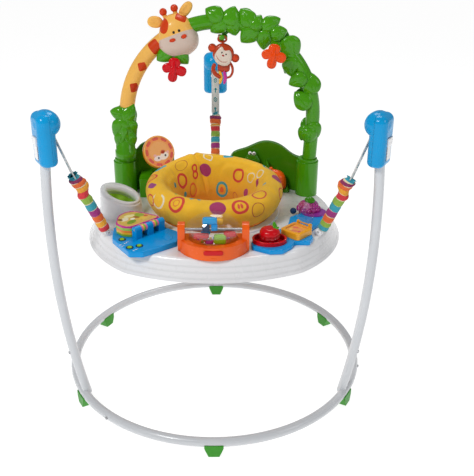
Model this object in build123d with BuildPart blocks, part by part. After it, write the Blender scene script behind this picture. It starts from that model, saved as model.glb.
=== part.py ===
from build123d import *
import math
import os

# Activity jumper: a steel ring on the floor carries three bowed uprights.
# Straps and covered springs hang a toy tray from the caps at their tops, and
# a padded seat swivels in the tray.  Millimetres, +Z up, floor at Z = 0.
# X and Y are zero in the middle of the footprint; -Y is the front.

os.makedirs("parts", exist_ok=True)

# ---------------------------------------------------------------- dimensions
CENTRE_Y = -27.0  # the ring and the tray are centred here

TUBE_R = 12.5
TUBE_BORE_R = 11.0
SPIGOT_R = 10.7
SPIGOT_BORE_R = 9.3
SPIGOT_LENGTH = 42.0
SLEEVE_LENGTH = 25.0

RING_R = 420.0
RING_Z = 36.0
POST_ANGLES = {"left": 60.0, "right": -60.0, "rear": 180.0}
JOINT_LEAD = 21.0  # degrees from a ring joint to the next upright
FOOT_HEIGHT = 34.0

BOW_R = 2450.0  # radius of the uprights' bow
BOW_REACH = 468.5  # furthest the bow stands from the centre
BOW_Z = 560.0  # height of that furthest point
STUB_TOP_Z = 205.0
UPRIGHT_TOP_Z = 806.0

CAP_BOTTOM_Z = 719.0
CAP_TOP_Z = 851.0
CAP_WIDTH = 74.0
CAP_DEPTH = 44.0
CAP_REACH = 459.0
CAP_WALL = 3.0
CAP_PARTING_R = 453.0
CAP_DRUM = (451.0, 819.0)  # (distance from the centre, height)
CAP_DRUM_R = 32.0

STRAP_TOP = (441.0, 799.6)
STRAP_END = (396.5, 676.0)
SPRING_END = (325.0, 517.0)
HOOK_REACH = 322.0
WEBBING_WIDTH = 24.0
WEBBING_THICK = 1.6
COVER_R = 15.0
COVER_BORE_R = 11.5
SPRING_R = 10.0
SPRING_WIRE = 3.0

TRAY_TOP_Z = 500.0
TRAY_BOTTOM_Z = 446.0
TRAY_R = 350.0
TRAY_FRONT_R = 480.0
TRAY_FRONT_Y = -325.0
TRAY_WALL = 3.0
SEAT_BORE_R = 163.08
SEAT_SLEEVE_R = 163.0
PAD_R = 187.0
PAD_FOOT_R = 158.0
PAD_BORE_R = 118.0

ARCH_Y = 134.0
ARCH_CENTRE = (16.0, 733.0)
ARCH_R = 262.5
ARCH_FEET = {"left": -261.0, "right": 270.0}
NECK_R = 21.2
STEM_R = 20.0
SOCKET_R = 32.0
SOCKET_TOP_Z = 602.0

GAP = 0.35  # play around small sliding parts
FIT = 0.05  # radial running clearance of the small axles


# ------------------------------------------------------------ places, planes
def at(x, y, z):
    """A point given from the ring's centre."""
    return Vector(x, y + CENTRE_Y, z)


def out(angle):
    """Unit vector away from the centre; 0 degrees is the front, + the left."""
    a = math.radians(angle)
    return Vector(-math.sin(a), -math.cos(a), 0)


def polar(angle, reach, z):
    way = out(angle) * reach
    return at(way.X, way.Y, z)


def radial_plane(angle, z=0.0):
    """Upright plane through the centre: local X outward, local Y up."""
    return Plane(at(0, 0, z), x_dir=out(angle), z_dir=out(angle).cross(Vector(0, 0, 1)))


def normal_plane(start, end):
    return Plane(start, z_dir=end - start)


def bow_reach(z):
    return BOW_REACH - BOW_R + math.sqrt(BOW_R**2 - (z - BOW_Z) ** 2)


def bow(angle, low, high):
    """The uprights' centreline between two heights."""
    points = [polar(angle, bow_reach(z), z) for z in (low, (low + high) / 2, high)]
    return ThreePointArc(*points)


def ring_arc(start, end):
    points = [polar(a, RING_R, RING_Z) for a in (start, (start + end) / 2, end)]
    return ThreePointArc(*points)


def run_tube(path, outer, inner=None, mode=Mode.ADD):
    """Sweep a round tube along one arc or line, inside a part block."""
    with BuildSketch(Plane(path @ 0, z_dir=path % 0)) as section:
        Circle(outer)
        if inner:
            Circle(inner, mode=Mode.SUBTRACT)
    sweep(section.sketch, path=path, mode=mode)


def save(piece, name):
    piece.part.label = name
    export_step(piece.part, f"parts/{name}.step")


# ------------------------------------------------------- base ring, uprights
def bore(plane, radius, depth):
    """Round hole from a plane, along its normal, inside a part block."""
    with BuildSketch(plane) as mouth:
        Circle(radius)
    extrude(mouth.sketch, amount=depth, mode=Mode.SUBTRACT)


def cut_button_hole(plane):
    bore(plane.offset(5), 4 + GAP, 15)


def snap_button(plane, name):
    """Sprung button that locks one tube into the next."""
    with BuildPart() as button:
        with BuildSketch(plane.offset(4.6)):
            Circle(5)
        extrude(amount=2)
        with BuildSketch(plane.offset(4.6)):
            Circle(4)
        extrude(amount=10.9)
        rims = button.edges().filter_by(GeomType.CIRCLE)
        fillet(rims.sort_by(Axis(plane.origin, plane.z_dir))[-1], 1.2)
    save(button, name)


degree = math.degrees(1 / RING_R)  # one millimetre along the ring
for side, post in POST_ANGLES.items():
    start = post - JOINT_LEAD
    end = start + 120
    stub_button = Plane(polar(post, bow_reach(180), 180), z_dir=out(post))
    button_angle = start + 20 * degree
    ring_button = Plane(polar(button_angle, RING_R, RING_Z), z_dir=out(button_angle))

    with BuildPart() as base_tube:
        run_tube(ring_arc(start, end), TUBE_R)
        run_tube(bow(post, RING_Z, STUB_TOP_Z), TUBE_R)
        run_tube(ring_arc(start, end), TUBE_BORE_R, mode=Mode.SUBTRACT)
        run_tube(bow(post, RING_Z, STUB_TOP_Z), TUBE_BORE_R, mode=Mode.SUBTRACT)
        run_tube(ring_arc(end - SLEEVE_LENGTH * degree, end), TUBE_BORE_R + 0.2, SPIGOT_BORE_R)
        run_tube(ring_arc(end, end + SPIGOT_LENGTH * degree), SPIGOT_R, SPIGOT_BORE_R)
        cut_button_hole(stub_button)
        cut_button_hole(ring_button)
        spigot_hole = end + 20 * degree
        cut_button_hole(Plane(polar(spigot_hole, RING_R, RING_Z), z_dir=out(spigot_hole)))
    save(base_tube, f"base_tube_{side}")

    with BuildPart() as upright:
        run_tube(bow(post, STUB_TOP_Z, UPRIGHT_TOP_Z), TUBE_R, TUBE_BORE_R)
        run_tube(bow(post, STUB_TOP_Z, STUB_TOP_Z + SLEEVE_LENGTH), TUBE_BORE_R + 0.2, SPIGOT_BORE_R)
        run_tube(bow(post, STUB_TOP_Z - SPIGOT_LENGTH, STUB_TOP_Z), SPIGOT_R, SPIGOT_BORE_R)
        cut_button_hole(stub_button)
    save(upright, f"upright_{side}")

    snap_button(stub_button, f"post_button_{side}")
    snap_button(ring_button, f"ring_button_{side}")

with BuildPart() as floor_feet:
    for angle in range(0, 360, 60):
        across = Vector(0, 0, 1).cross(out(angle))
        with BuildSketch(Plane(polar(angle, RING_R - 15, 0), x_dir=across, z_dir=out(angle))):
            with BuildLine():
                Polyline((-14, 0), (14, 0), (25, 26), (25, FOOT_HEIGHT), (-25, FOOT_HEIGHT), (-25, 26),
                         close=True)
            make_face()
        extrude(amount=30)
    fillet(floor_feet.edges().filter_by(Axis.Z), 4)
    for start in (0, 120, 240):
        run_tube(ring_arc(start, start + 120), TUBE_R, mode=Mode.SUBTRACT)
save(floor_feet, "floor_feet")


# ------------------------------------------------------------ caps and slots
def cap_body(angle, inset):
    """Round-ended drum across the top of an upright housing with soft corners."""
    height = CAP_TOP_Z - 5 - CAP_BOTTOM_Z
    half_drum = CAP_WIDTH / 2 - CAP_DRUM_R
    with BuildPart(mode=Mode.PRIVATE) as body:
        with BuildSketch(Plane(polar(angle, CAP_REACH, CAP_BOTTOM_Z + inset), x_dir=out(angle))):
            RectangleRounded(CAP_DEPTH - 2 * inset, CAP_WIDTH - 2 * inset, 20 - inset)
        extrude(amount=height - 2 * inset)
        fillet(body.edges().group_by(Axis.Z)[-1], 18 - inset)
        fillet(body.edges().group_by(Axis.Z)[0], 12 - inset)
        with BuildSketch(radial_plane(angle)):
            with Locations(CAP_DRUM):
                Circle(CAP_DRUM_R - inset)
        extrude(amount=half_drum, both=True)
        for side in (-1, 1):
            with Locations(radial_plane(angle).offset(side * half_drum) * Pos(*CAP_DRUM)):
                Sphere(CAP_DRUM_R - inset)
    return body.part


def strap_slots(angle):
    """Inner mouth for the strap and outer window for its loose end."""
    plane = radial_plane(angle)
    for low, high, half_width in (((426, 774), (442, 799), 13.5), ((474, 735), (492, 792), 14.5)):
        with BuildSketch(plane) as window:
            with BuildLine():
                Polyline(low, (high[0], low[1]), high, (low[0], high[1]), close=True)
            make_face()
        extrude(window.sketch, amount=half_width, both=True, mode=Mode.SUBTRACT)


cap_bodies = {post: (cap_body(post, 0), cap_body(post, CAP_WALL)) for post in POST_ANGLES.values()}


def cap_shells(name, keep):
    with BuildPart() as shells:
        for post, (outside, inside) in cap_bodies.items():
            parting = Plane(polar(post, CAP_PARTING_R, 0), z_dir=out(post))
            with BuildPart(mode=Mode.PRIVATE) as shell:
                add(outside)
                add(inside, mode=Mode.SUBTRACT)
                run_tube(bow(post, CAP_BOTTOM_Z - 30, CAP_BOTTOM_Z + 30), TUBE_R + 0.1, mode=Mode.SUBTRACT)
                strap_slots(post)
                split(bisect_by=parting, keep=keep)
            add(shell.part)
    save(shells, name)


cap_shells("cap_inner", Keep.BOTTOM)
cap_shells("cap_outer", Keep.TOP)

with BuildPart() as strap_sliders:
    for post in POST_ANGLES.values():
        with BuildSketch(radial_plane(post)):
            with Locations((481.6, 781)):
                RectangleRounded(6, 20, 2)
        extrude(amount=14, both=True)
        with BuildSketch(radial_plane(post)):
            with Locations((481.6, 757)):
                Rectangle(1.8, 42)
        extrude(amount=WEBBING_WIDTH / 2, both=True)
save(strap_sliders, "strap_sliders")


# ------------------------------------------------- straps, springs and covers
for side, post in POST_ANGLES.items():
    with BuildPart() as strap:
        upper = polar(post, *STRAP_TOP)
        lower = polar(post, *STRAP_END)
        with BuildSketch(Plane(upper, x_dir=out(post).cross(Vector(0, 0, 1)), z_dir=lower - upper)):
            Rectangle(WEBBING_WIDTH, WEBBING_THICK)
        extrude(amount=(lower - upper).length)
    save(strap, f"strap_{side}")


def along_spring(angle, share):
    top = polar(angle, *STRAP_END)
    return top + (polar(angle, *SPRING_END) - top) * share


with BuildPart() as spring_covers:
    for post in POST_ANGLES.values():
        run_tube(Line(along_spring(post, 0.01), along_spring(post, 1)), COVER_R, COVER_BORE_R)
save(spring_covers, "spring_covers")

with BuildPart() as bounce_springs:
    for post in POST_ANGLES.values():
        low = along_spring(post, 0.95)
        high = along_spring(post, 0.06)
        turns = int((high - low).length / SPRING_WIRE)
        inside = SPRING_R - SPRING_WIRE
        ribs = [(SPRING_R - 1.2 * (step % 2), step * SPRING_WIRE / 2) for step in range(2 * turns + 1)]
        sideways = out(post).cross(Vector(0, 0, 1))
        with BuildSketch(Plane(low, x_dir=sideways, z_dir=sideways.cross(high - low))):
            with BuildLine():
                Polyline(*ribs, (inside, ribs[-1][1]), (inside, 0), close=True)
            make_face()
        revolve(axis=Axis(low, high - low))
save(bounce_springs, "bounce_springs")


# --------------------------------------------------------------------- tray
def tray_outline(z, inset, corner):
    """Round plan with a flatter front and rounded corners between."""
    with BuildSketch(Plane(at(0, 0, z))) as outline:
        Circle(TRAY_R - inset - corner)
        with Locations((0, TRAY_FRONT_Y + TRAY_FRONT_R)):
            Circle(TRAY_FRONT_R - inset - corner, mode=Mode.INTERSECT)
        offset(amount=corner)
    return outline.sketch.faces()[0]


def tray_block(wall):
    """The tray's outside, or with a wall its inside."""
    waist = tray_outline(462, 9 + wall, 92)
    loft([tray_outline(TRAY_BOTTOM_Z, wall, 100), waist], ruled=True)
    loft([waist, tray_outline(TRAY_TOP_Z - wall, 25 + wall, 80)], ruled=True)


screw_places = [polar(angle, 285, TRAY_BOTTOM_Z) for angle in range(30, 390, 60)]

with BuildPart() as tray_cavity:
    tray_block(TRAY_WALL)

with BuildPart() as tray_upper:
    tray_block(0)
    fillet(tray_upper.edges().group_by(Axis.Z)[-1], 9)
    add(tray_cavity.part, mode=Mode.SUBTRACT)
    with BuildSketch(Plane(at(0, 0, TRAY_BOTTOM_Z))):
        Circle(SEAT_BORE_R + 3.5)
    extrude(amount=TRAY_TOP_Z - TRAY_BOTTOM_Z)
    with BuildSketch(Plane(at(0, 0, TRAY_BOTTOM_Z))):
        Circle(SEAT_BORE_R)
    extrude(amount=TRAY_TOP_Z - TRAY_BOTTOM_Z + 5, mode=Mode.SUBTRACT)
    for place in screw_places:
        with BuildSketch(Plane(place + Vector(0, 0, 4))):
            Circle(6)
            Circle(2, mode=Mode.SUBTRACT)
        extrude(amount=TRAY_TOP_Z - TRAY_BOTTOM_Z - 6)
save(tray_upper, "tray_upper")

with BuildPart() as tray_lower:
    extrude(tray_outline(TRAY_BOTTOM_Z, TRAY_WALL + 3, 95), amount=3, dir=(0, 0, 1))
    with BuildSketch(Plane(at(0, 0, TRAY_BOTTOM_Z))):
        Circle(SEAT_BORE_R + 4)
        for place in screw_places:
            with Locations((place.X, place.Y - CENTRE_Y)):
                Circle(2.2)
    extrude(amount=3, mode=Mode.SUBTRACT)
save(tray_lower, "tray_lower")

with BuildPart() as tray_screws:
    for place in screw_places:
        with Locations(Plane(place)):
            Cylinder(4, 2.5, align=(Align.CENTER, Align.CENTER, Align.MAX))
            Cylinder(1.9, 22, align=(Align.CENTER, Align.CENTER, Align.MIN))
save(tray_screws, "tray_screws")

with BuildPart() as tray_hooks:
    for post in POST_ANGLES.values():
        with BuildSketch(radial_plane(post)):
            with Locations((HOOK_REACH - 6, TRAY_TOP_Z + 7)):
                RectangleRounded(20, 15, 5)
            with Locations((HOOK_REACH - 6, TRAY_TOP_Z + 8)):
                Circle(3.5, mode=Mode.SUBTRACT)
        extrude(amount=5, both=True)
    with BuildSketch(Plane(at(0, 0, TRAY_TOP_Z - 8))):
        Circle(400)
    extrude(amount=8, mode=Mode.SUBTRACT)
save(tray_hooks, "tray_hooks")


# --------------------------------------------------------------------- seat
with BuildPart() as seat_ring:
    with BuildSketch(Plane(at(0, 0, 452))):
        Circle(SEAT_SLEEVE_R)
    extrude(amount=50)
    with BuildSketch(Plane(at(0, 0, TRAY_TOP_Z + 0.4))):
        Circle(179)
    extrude(amount=5)
    fillet(seat_ring.edges().group_by(Axis.Z)[-1], 1.5)
    with BuildSketch(Plane(at(0, 0, 452))):
        Circle(158.5)
    extrude(amount=60, mode=Mode.SUBTRACT)
save(seat_ring, "seat_ring")

with BuildPart() as seat_pad:
    with BuildSketch(Plane(at(0, 0, 0), x_dir=(1, 0, 0), z_dir=(0, -1, 0))):
        with BuildLine():
            Spline((PAD_FOOT_R, 506), (PAD_R - 3, 526), (PAD_R, 548), (PAD_R - 7, 585), (PAD_R - 18, 625))
            Polyline((PAD_R - 18, 625), (PAD_BORE_R + 14, 625), (PAD_BORE_R, 540), (PAD_BORE_R, 506),
                     (PAD_FOOT_R, 506))
        make_face()
    revolve(axis=Axis(at(0, 0, 0), (0, 0, 1)))
    split(bisect_by=Plane(at(0, 0, 602), z_dir=(0, -30, 374)), keep=Keep.BOTTOM)
    fillet(seat_pad.faces().sort_by(Axis.Z)[-1].edges(), 15)
save(seat_pad, "seat_pad")

sling_outside = [(157.5, 505), (151, 430), (122, 362), (70, 328), (0, 322)]
sling_inside = [(153.5, 505), (147, 431), (118.5, 364.5), (69, 332), (0, 326)]
with BuildPart() as seat_sling:
    with BuildSketch(Plane(at(0, 0, 0), x_dir=(1, 0, 0), z_dir=(0, -1, 0))):
        with BuildLine():
            Polyline(*sling_outside, *reversed(sling_inside), close=True)
        make_face()
    revolve(axis=Axis(at(0, 0, 0), (0, 0, 1)))
    for side in (-1, 1):
        with BuildSketch(Plane(at(0, 0, 396), z_dir=(side * 0.72, -0.5, -0.48))):
            Circle(52)
        extrude(amount=260, mode=Mode.SUBTRACT)
save(seat_sling, "seat_sling")


# --------------------------------------------------------------------- arch
ARCH_PLANE = Plane(at(0, ARCH_Y, 0), x_dir=(1, 0, 0), z_dir=(0, -1, 0))


def arch_point(angle, reach=ARCH_R, y=ARCH_Y):
    """On the bend; 0 degrees is its right end and 180 its left."""
    a = math.radians(angle)
    return at(ARCH_CENTRE[0] + reach * math.cos(a), y, ARCH_CENTRE[1] + reach * math.sin(a))


def leg_angle(foot_x):
    """Where on the bend the straight leg from a foot touches it."""
    across = foot_x - ARCH_CENTRE[0]
    down = TRAY_TOP_Z - ARCH_CENTRE[1]
    towards = math.degrees(math.atan2(down, across))
    lead = math.degrees(math.acos(ARCH_R / math.hypot(across, down)))
    return towards + lead if foot_x > 0 else towards + 360 - lead


def leg(side, low=TRAY_TOP_Z + 4):
    """Straight leg up to the bend, starting at a given height."""
    foot = at(ARCH_FEET[side], ARCH_Y, TRAY_TOP_Z)
    top = arch_point(leg_angle(ARCH_FEET[side]))
    return Line(foot + (top - foot) * ((low - TRAY_TOP_Z) / (top.Z - TRAY_TOP_Z)), top)


def bend(start, end):
    return ThreePointArc(*(arch_point(a) for a in (start, (start + end) / 2, end)))


NECK_TOP = 117.0  # degrees; the giraffe's head covers the joint
LEFT_LEG = leg_angle(ARCH_FEET["left"])
RIGHT_LEG = leg_angle(ARCH_FEET["right"])

with BuildPart() as arch_sockets:
    for side in ("left", "right"):
        with BuildSketch(Plane(at(ARCH_FEET[side], ARCH_Y, TRAY_TOP_Z))):
            Circle(SOCKET_R)
        extrude(amount=SOCKET_TOP_Z - TRAY_TOP_Z)
        with BuildSketch(Plane(at(ARCH_FEET[side], ARCH_Y, SOCKET_TOP_Z))):
            Circle(SOCKET_R - 4)
        extrude(amount=9)
    fillet(arch_sockets.edges().filter_by(GeomType.CIRCLE).group_by(Axis.Z)[-1], 2)
    for side in ("left", "right"):
        run_tube(leg(side), NECK_R + 0.4, mode=Mode.SUBTRACT)
save(arch_sockets, "arch_sockets")

with BuildPart() as giraffe_neck:
    run_tube(leg("left"), NECK_R, NECK_R - 2.5)
    run_tube(bend(LEFT_LEG, NECK_TOP), NECK_R, NECK_R - 2.5)
save(giraffe_neck, "giraffe_neck")

with BuildPart() as leafy_tube:
    run_tube(bend(NECK_TOP - 0.2, RIGHT_LEG), STEM_R, STEM_R - 2.5)
    run_tube(leg("right"), STEM_R, STEM_R - 2.5)
save(leafy_tube, "leafy_tube")


def leaf_sleeve(path, half_width, half_depth, bore):
    with BuildSketch(Plane(path @ 0, x_dir=(0, 1, 0), z_dir=path % 0)) as section:
        Ellipse(half_depth, half_width)
        Circle(bore, mode=Mode.SUBTRACT)
    sweep(section.sketch, path=path)


with BuildPart() as arch_leaves:
    left_leg = leg("left", 616)
    leaf_sleeve(Line(left_leg @ 0, left_leg @ 1), 34, 30, NECK_R + 0.1)
    leaf_sleeve(bend(97, 46), 36, 29, STEM_R + 0.1)
    leaf_sleeve(bend(45, 18), 34, 29, STEM_R + 0.1)
    right_leg = leg("right", 646)
    leaf_sleeve(Line(right_leg @ 0, right_leg @ 0.72), 29, 29, STEM_R + 0.1)
save(arch_leaves, "arch_leaves")

HEAD = (-105.0, 964.0)
HEAD_TILT = 16.0
HEAD_FRONT_Y = 90.0
HEAD_BACK_Y = 162.0


def head_plane(y):
    """Looks out of the giraffe's face; local Y runs up the tilted head."""
    tilt = math.radians(HEAD_TILT)
    return Plane(at(HEAD[0], y, HEAD[1]), x_dir=(math.cos(tilt), 0, math.sin(tilt)), z_dir=(0, -1, 0))


def head_outline():
    with Locations((0, 15)):
        Circle(38)
    with Locations((0, -9)):
        Circle(55)
    make_hull()


def cut_arch_tubes():
    run_tube(bend(LEFT_LEG, NECK_TOP), NECK_R + 0.2, mode=Mode.SUBTRACT)
    run_tube(bend(NECK_TOP - 0.2, 80), STEM_R + 0.2, mode=Mode.SUBTRACT)


with BuildPart() as giraffe_face:
    with BuildSketch(head_plane(ARCH_Y)):
        head_outline()
    extrude(amount=ARCH_Y - HEAD_FRONT_Y)
    fillet(giraffe_face.faces().sort_by(Axis.Y)[0].edges(), 24)
    cut_arch_tubes()
save(giraffe_face, "giraffe_face")

with BuildPart() as giraffe_back:
    with BuildSketch(head_plane(ARCH_Y)):
        head_outline()
    extrude(amount=ARCH_Y - HEAD_BACK_Y)
    fillet(giraffe_back.faces().sort_by(Axis.Y)[-1].edges(), 12)
    for across, up, lean, length in ((-19, 50, 8, 16), (13, 52, -8, 16)):
        with BuildSketch(head_plane(ARCH_Y + 20)):
            with Locations(Location((across, up), lean)):
                Rectangle(8, length * 2)
            with Locations((across, up + length)):
                Circle(9)
        extrude(amount=14)
    for across, up, lean in ((-44, 42, 70), (36, 52, -52)):
        with BuildSketch(head_plane(ARCH_Y + 20)):
            with Locations(Location((across, up), lean)):
                Ellipse(14, 26)
        extrude(amount=14)
    cut_arch_tubes()
save(giraffe_back, "giraffe_back")


# ----------------------------------------------------- toys hung on the arch
# (across, forward tip, height) of each peg's end
PEGS = {
    "monkey": (18.0, 108.0, 955.0),
    "butterfly_red": (-106.0, 108.0, 886.0),
    "butterfly_orange": (161.0, 86.0, 936.0),
}
PEG_R = 3.0
PEG_BALL_R = 5.0
LOOP_R = 6.2
LOOP_WIRE = 2.0
LOOP_BACK = 10.0  # the loops hang this far behind the pegs' balls

with BuildPart() as toy_pegs:
    for x, tip_y, z in PEGS.values():
        with BuildSketch(Plane(at(x, ARCH_Y, z), z_dir=(0, -1, 0))):
            Circle(PEG_R)
        extrude(amount=ARCH_Y - tip_y)
        with Locations(at(x, tip_y, z)):
            Sphere(PEG_BALL_R)
        with BuildSketch(Plane(at(x, ARCH_Y + 6, z), z_dir=(0, -1, 0))):
            with Locations((0, 5)):
                RectangleRounded(12, 26, 5)
        extrude(amount=9)
    for neighbour in (arch_leaves, leafy_tube, giraffe_face, giraffe_back):
        add(neighbour.part, mode=Mode.SUBTRACT)
save(toy_pegs, "toy_pegs")


def hung_loop(peg):
    """Ring around a peg, resting on its underside."""
    x, tip_y, z = peg
    y = tip_y + LOOP_BACK
    drop = LOOP_R - LOOP_WIRE - PEG_R - 0.5
    with Locations(Plane(at(x, y, z - drop), z_dir=(0, -1, 0))):
        Torus(LOOP_R, LOOP_WIRE)
    return at(x, y, z - drop - LOOP_R)


def hung_sketch(below):
    return Plane(below, x_dir=(1, 0, 0), z_dir=(0, -1, 0))


with BuildPart() as monkey:
    neck = hung_loop(PEGS["monkey"])
    with BuildSketch(hung_sketch(neck)):
        with Locations((2, -3)):
            Rectangle(7, 8)
    extrude(amount=LOOP_WIRE, both=True)
    with BuildSketch(hung_sketch(neck)):
        with Locations((3, -31)):
            Circle(27)
        for across, up in ((-31, -24), (36, -36)):
            with Locations((across, up)):
                Circle(12)
        with Locations((-16, -66)):
            RectangleRounded(16, 30, 7)
        with Locations((6, -70)):
            RectangleRounded(36, 34, 10)
        with Locations((10, -94)):
            RectangleRounded(24, 34, 8)
    extrude(amount=11, both=True)
save(monkey, "monkey")

for name in ("butterfly_red", "butterfly_orange"):
    with BuildPart() as butterfly:
        neck = hung_loop(PEGS[name])
        with BuildSketch(hung_sketch(neck)):
            with Locations((0, -3)):
                Rectangle(6, 8)
        extrude(amount=LOOP_WIRE, both=True)
        with BuildSketch(hung_sketch(neck)):
            with Locations((0, -21)):
                RectangleRounded(14, 40, 6.9)
            for across, up, radius in ((-16, -10, 14), (16, -10, 14), (-12, -31, 12), (12, -31, 12)):
                with Locations((across, up)):
                    Circle(radius)
        extrude(amount=4.5, both=True)
    save(butterfly, name)


# ------------------------------------------------------------- spinning drum
DRUM = (0.0, -250.0, 557.0)
DRUM_HALF_LENGTH = 69.0
DRUM_R = 47.5
DRUM_WALL = 2.5
AXLE_R = 4.0
DRUM_AXIS = Axis(at(*DRUM), (1, 0, 0))
DRUM_PLANE = Plane(at(*DRUM), x_dir=(1, 0, 0), z_dir=(0, -1, 0))


def drum_body(half_length, radius, mode=Mode.ADD):
    """Egg-shaped body of revolution about the drum's axle."""
    with BuildSketch(DRUM_PLANE) as half:
        Ellipse(half_length, radius)
        with Locations((0, -radius)):
            Rectangle(2 * half_length + 2, 2 * radius, mode=Mode.SUBTRACT)
    revolve(half.sketch, axis=DRUM_AXIS, mode=mode)


def drum_axle_hole(radius):
    bore(Plane(at(-100, *DRUM[1:]), z_dir=(1, 0, 0)), radius, 200)


with BuildPart() as ball_cradle:
    with BuildSketch(Plane(at(0, 0, TRAY_TOP_Z))):
        with BuildLine():
            ThreePointArc((-88, -246), (0, -312), (88, -252))
            Polyline((88, -252), (88, -222), (-88, -222), (-88, -246))
        make_face()
    extrude(amount=34)
    for across in (-1, 1):
        side_view = Plane(at(across * 79.5, DRUM[1] + 4, 537), x_dir=(0, 1, 0), z_dir=(1, 0, 0))
        with BuildSketch(side_view):
            RectangleRounded(36, 74, 14)
        extrude(amount=9, both=True)
    drum_body(DRUM_HALF_LENGTH + 1.5, DRUM_R + 1.5, mode=Mode.SUBTRACT)
    with BuildSketch(Plane(at(0, 0, TRAY_TOP_Z - 20))):
        Rectangle(400, 900)
    extrude(amount=20, mode=Mode.SUBTRACT)
    drum_axle_hole(AXLE_R)
save(ball_cradle, "ball_cradle")

with BuildPart() as ball_axle:
    with BuildSketch(Plane(at(-86, *DRUM[1:]), z_dir=(1, 0, 0))):
        Circle(AXLE_R)
    extrude(amount=172)
save(ball_axle, "ball_axle")

with BuildPart() as ball_shell:
    drum_body(DRUM_HALF_LENGTH, DRUM_R)
    drum_body(DRUM_HALF_LENGTH - 2 * DRUM_WALL, DRUM_R - DRUM_WALL, mode=Mode.SUBTRACT)
    drum_axle_hole(AXLE_R + FIT)
save(ball_shell, "ball_shell")

with BuildPart() as ball_rotor:
    with BuildSketch(Plane(at(-52, *DRUM[1:]), z_dir=(1, 0, 0))):
        Circle(9)
    extrude(amount=104)
    for across, angle in ((-28, 80), (-28, 260), (2, 20), (2, 200), (30, 140), (30, 320)):
        with BuildSketch(Plane(at(DRUM[0] + across, *DRUM[1:]), x_dir=(0, 0, 1), z_dir=(1, 0, 0))):
            with Locations(Location((0, 0), angle)):
                with Locations((17, 0)):
                    Rectangle(22, 16)
        extrude(amount=9, both=True)
    drum_axle_hole(AXLE_R + FIT)
save(ball_rotor, "ball_rotor")


# -------------------------------------------------------------- book toy
HINGE_MIDDLE = (-167.0, -183.0, 538.0)
HINGE_ANGLE = 43.7
HINGE_R = 9.0
HINGE_PIN_R = 2.5
KNUCKLES = 5
KNUCKLE = 18.5


def hinge_place(along, across, z=HINGE_MIDDLE[2]):
    """A point along the hinge line and to its left side."""
    a = math.radians(HINGE_ANGLE)
    x = HINGE_MIDDLE[0] + along * math.cos(a) - across * math.sin(a)
    y = HINGE_MIDDLE[1] + along * math.sin(a) + across * math.cos(a)
    return at(x, y, z)


HINGE_WAY = (hinge_place(1, 0) - hinge_place(0, 0)).normalized()


def hinge_cut(along):
    """Plane across the hinge; local Y is up, local X to the left of the line."""
    return Plane(hinge_place(along, 0), x_dir=Vector(0, 0, 1).cross(HINGE_WAY), z_dir=HINGE_WAY)


def knuckle_start(index):
    return (index - KNUCKLES / 2) * KNUCKLE


BOOK_BUTTONS = [(-231, -220), (-207, -266), (-184, -256)]
BOOK_FLOOR_Z = 515.0

with BuildPart() as book_base:
    with BuildSketch(Plane(at(0, 0, TRAY_TOP_Z))) as plan:
        with BuildLine():
            Polyline((-262, -148), (-258, -208), (-206, -290), (-172, -290), (-92, -228), (-92, -170),
                     (-130, -140), (-190, -84), (-222, -84), close=True)
        make_face()
        fillet(plan.vertices(), 9)
    extrude(amount=BOOK_FLOOR_Z - TRAY_TOP_Z)
    fillet(book_base.faces().sort_by(Axis.Z)[-1].edges(), 3)
    for index in range(0, KNUCKLES, 2):
        with BuildSketch(hinge_cut(knuckle_start(index))):
            Circle(HINGE_R)
            with Locations((0, -14)):
                Rectangle(2 * HINGE_R, 28)
        extrude(amount=KNUCKLE)
    with BuildSketch(hinge_cut(knuckle_start(0) - 1)):
        Circle(HINGE_PIN_R)
    extrude(amount=KNUCKLES * KNUCKLE + 2, mode=Mode.SUBTRACT)
    for x, y in BOOK_BUTTONS:
        with Locations(at(x, y, TRAY_TOP_Z)):
            Cylinder(6 + GAP, 60, mode=Mode.SUBTRACT)
            Cylinder(8.5, 16, mode=Mode.SUBTRACT)
save(book_base, "book_base")

with BuildPart() as book_pin:
    with BuildSketch(hinge_cut(knuckle_start(0))):
        Circle(HINGE_PIN_R)
    extrude(amount=KNUCKLES * KNUCKLE)
save(book_pin, "book_pin")

for index, (x, y) in enumerate(BOOK_BUTTONS, 1):
    with BuildPart() as tune_button:
        with Locations(at(x, y, 503.5)):
            Cylinder(7.5, 3, align=(Align.CENTER, Align.CENTER, Align.MIN))
            Cylinder(6, 14.5, align=(Align.CENTER, Align.CENTER, Align.MIN))
        fillet(tune_button.edges().sort_by(Axis.Z)[-1], 1.5)
    save(tune_button, f"tune_button_{index}")

with BuildPart() as book_pages:
    with BuildSketch(Plane(hinge_place(0, 0, BOOK_FLOOR_Z + 1), x_dir=HINGE_WAY)) as page:
        with BuildLine():
            Polyline((-45, 11), (46, 11), (46, 34), (20, 92), (-22, 96), (-60, 58), (-60, 30), close=True)
        make_face()
        fillet(page.vertices().sort_by(Axis.Y)[-6:], 12)
    extrude(amount=27)
    for index in range(1, KNUCKLES, 2):
        with BuildSketch(hinge_cut(knuckle_start(index) + GAP)):
            Circle(HINGE_R)
            with Locations((7, 0)):
                Rectangle(14, 12)
        extrude(amount=KNUCKLE - 2 * GAP)
    with BuildSketch(hinge_cut(knuckle_start(0) - 1)):
        Circle(HINGE_PIN_R + FIT)
    extrude(amount=KNUCKLES * KNUCKLE + 2, mode=Mode.SUBTRACT)
save(book_pages, "book_pages")


# -------------------------------------------------------------- mirror pod
POD = (-258.0, -14.0)
POD_SLOPE = Plane(at(*POD, 556), z_dir=(0.36, -0.12, 1))

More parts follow.
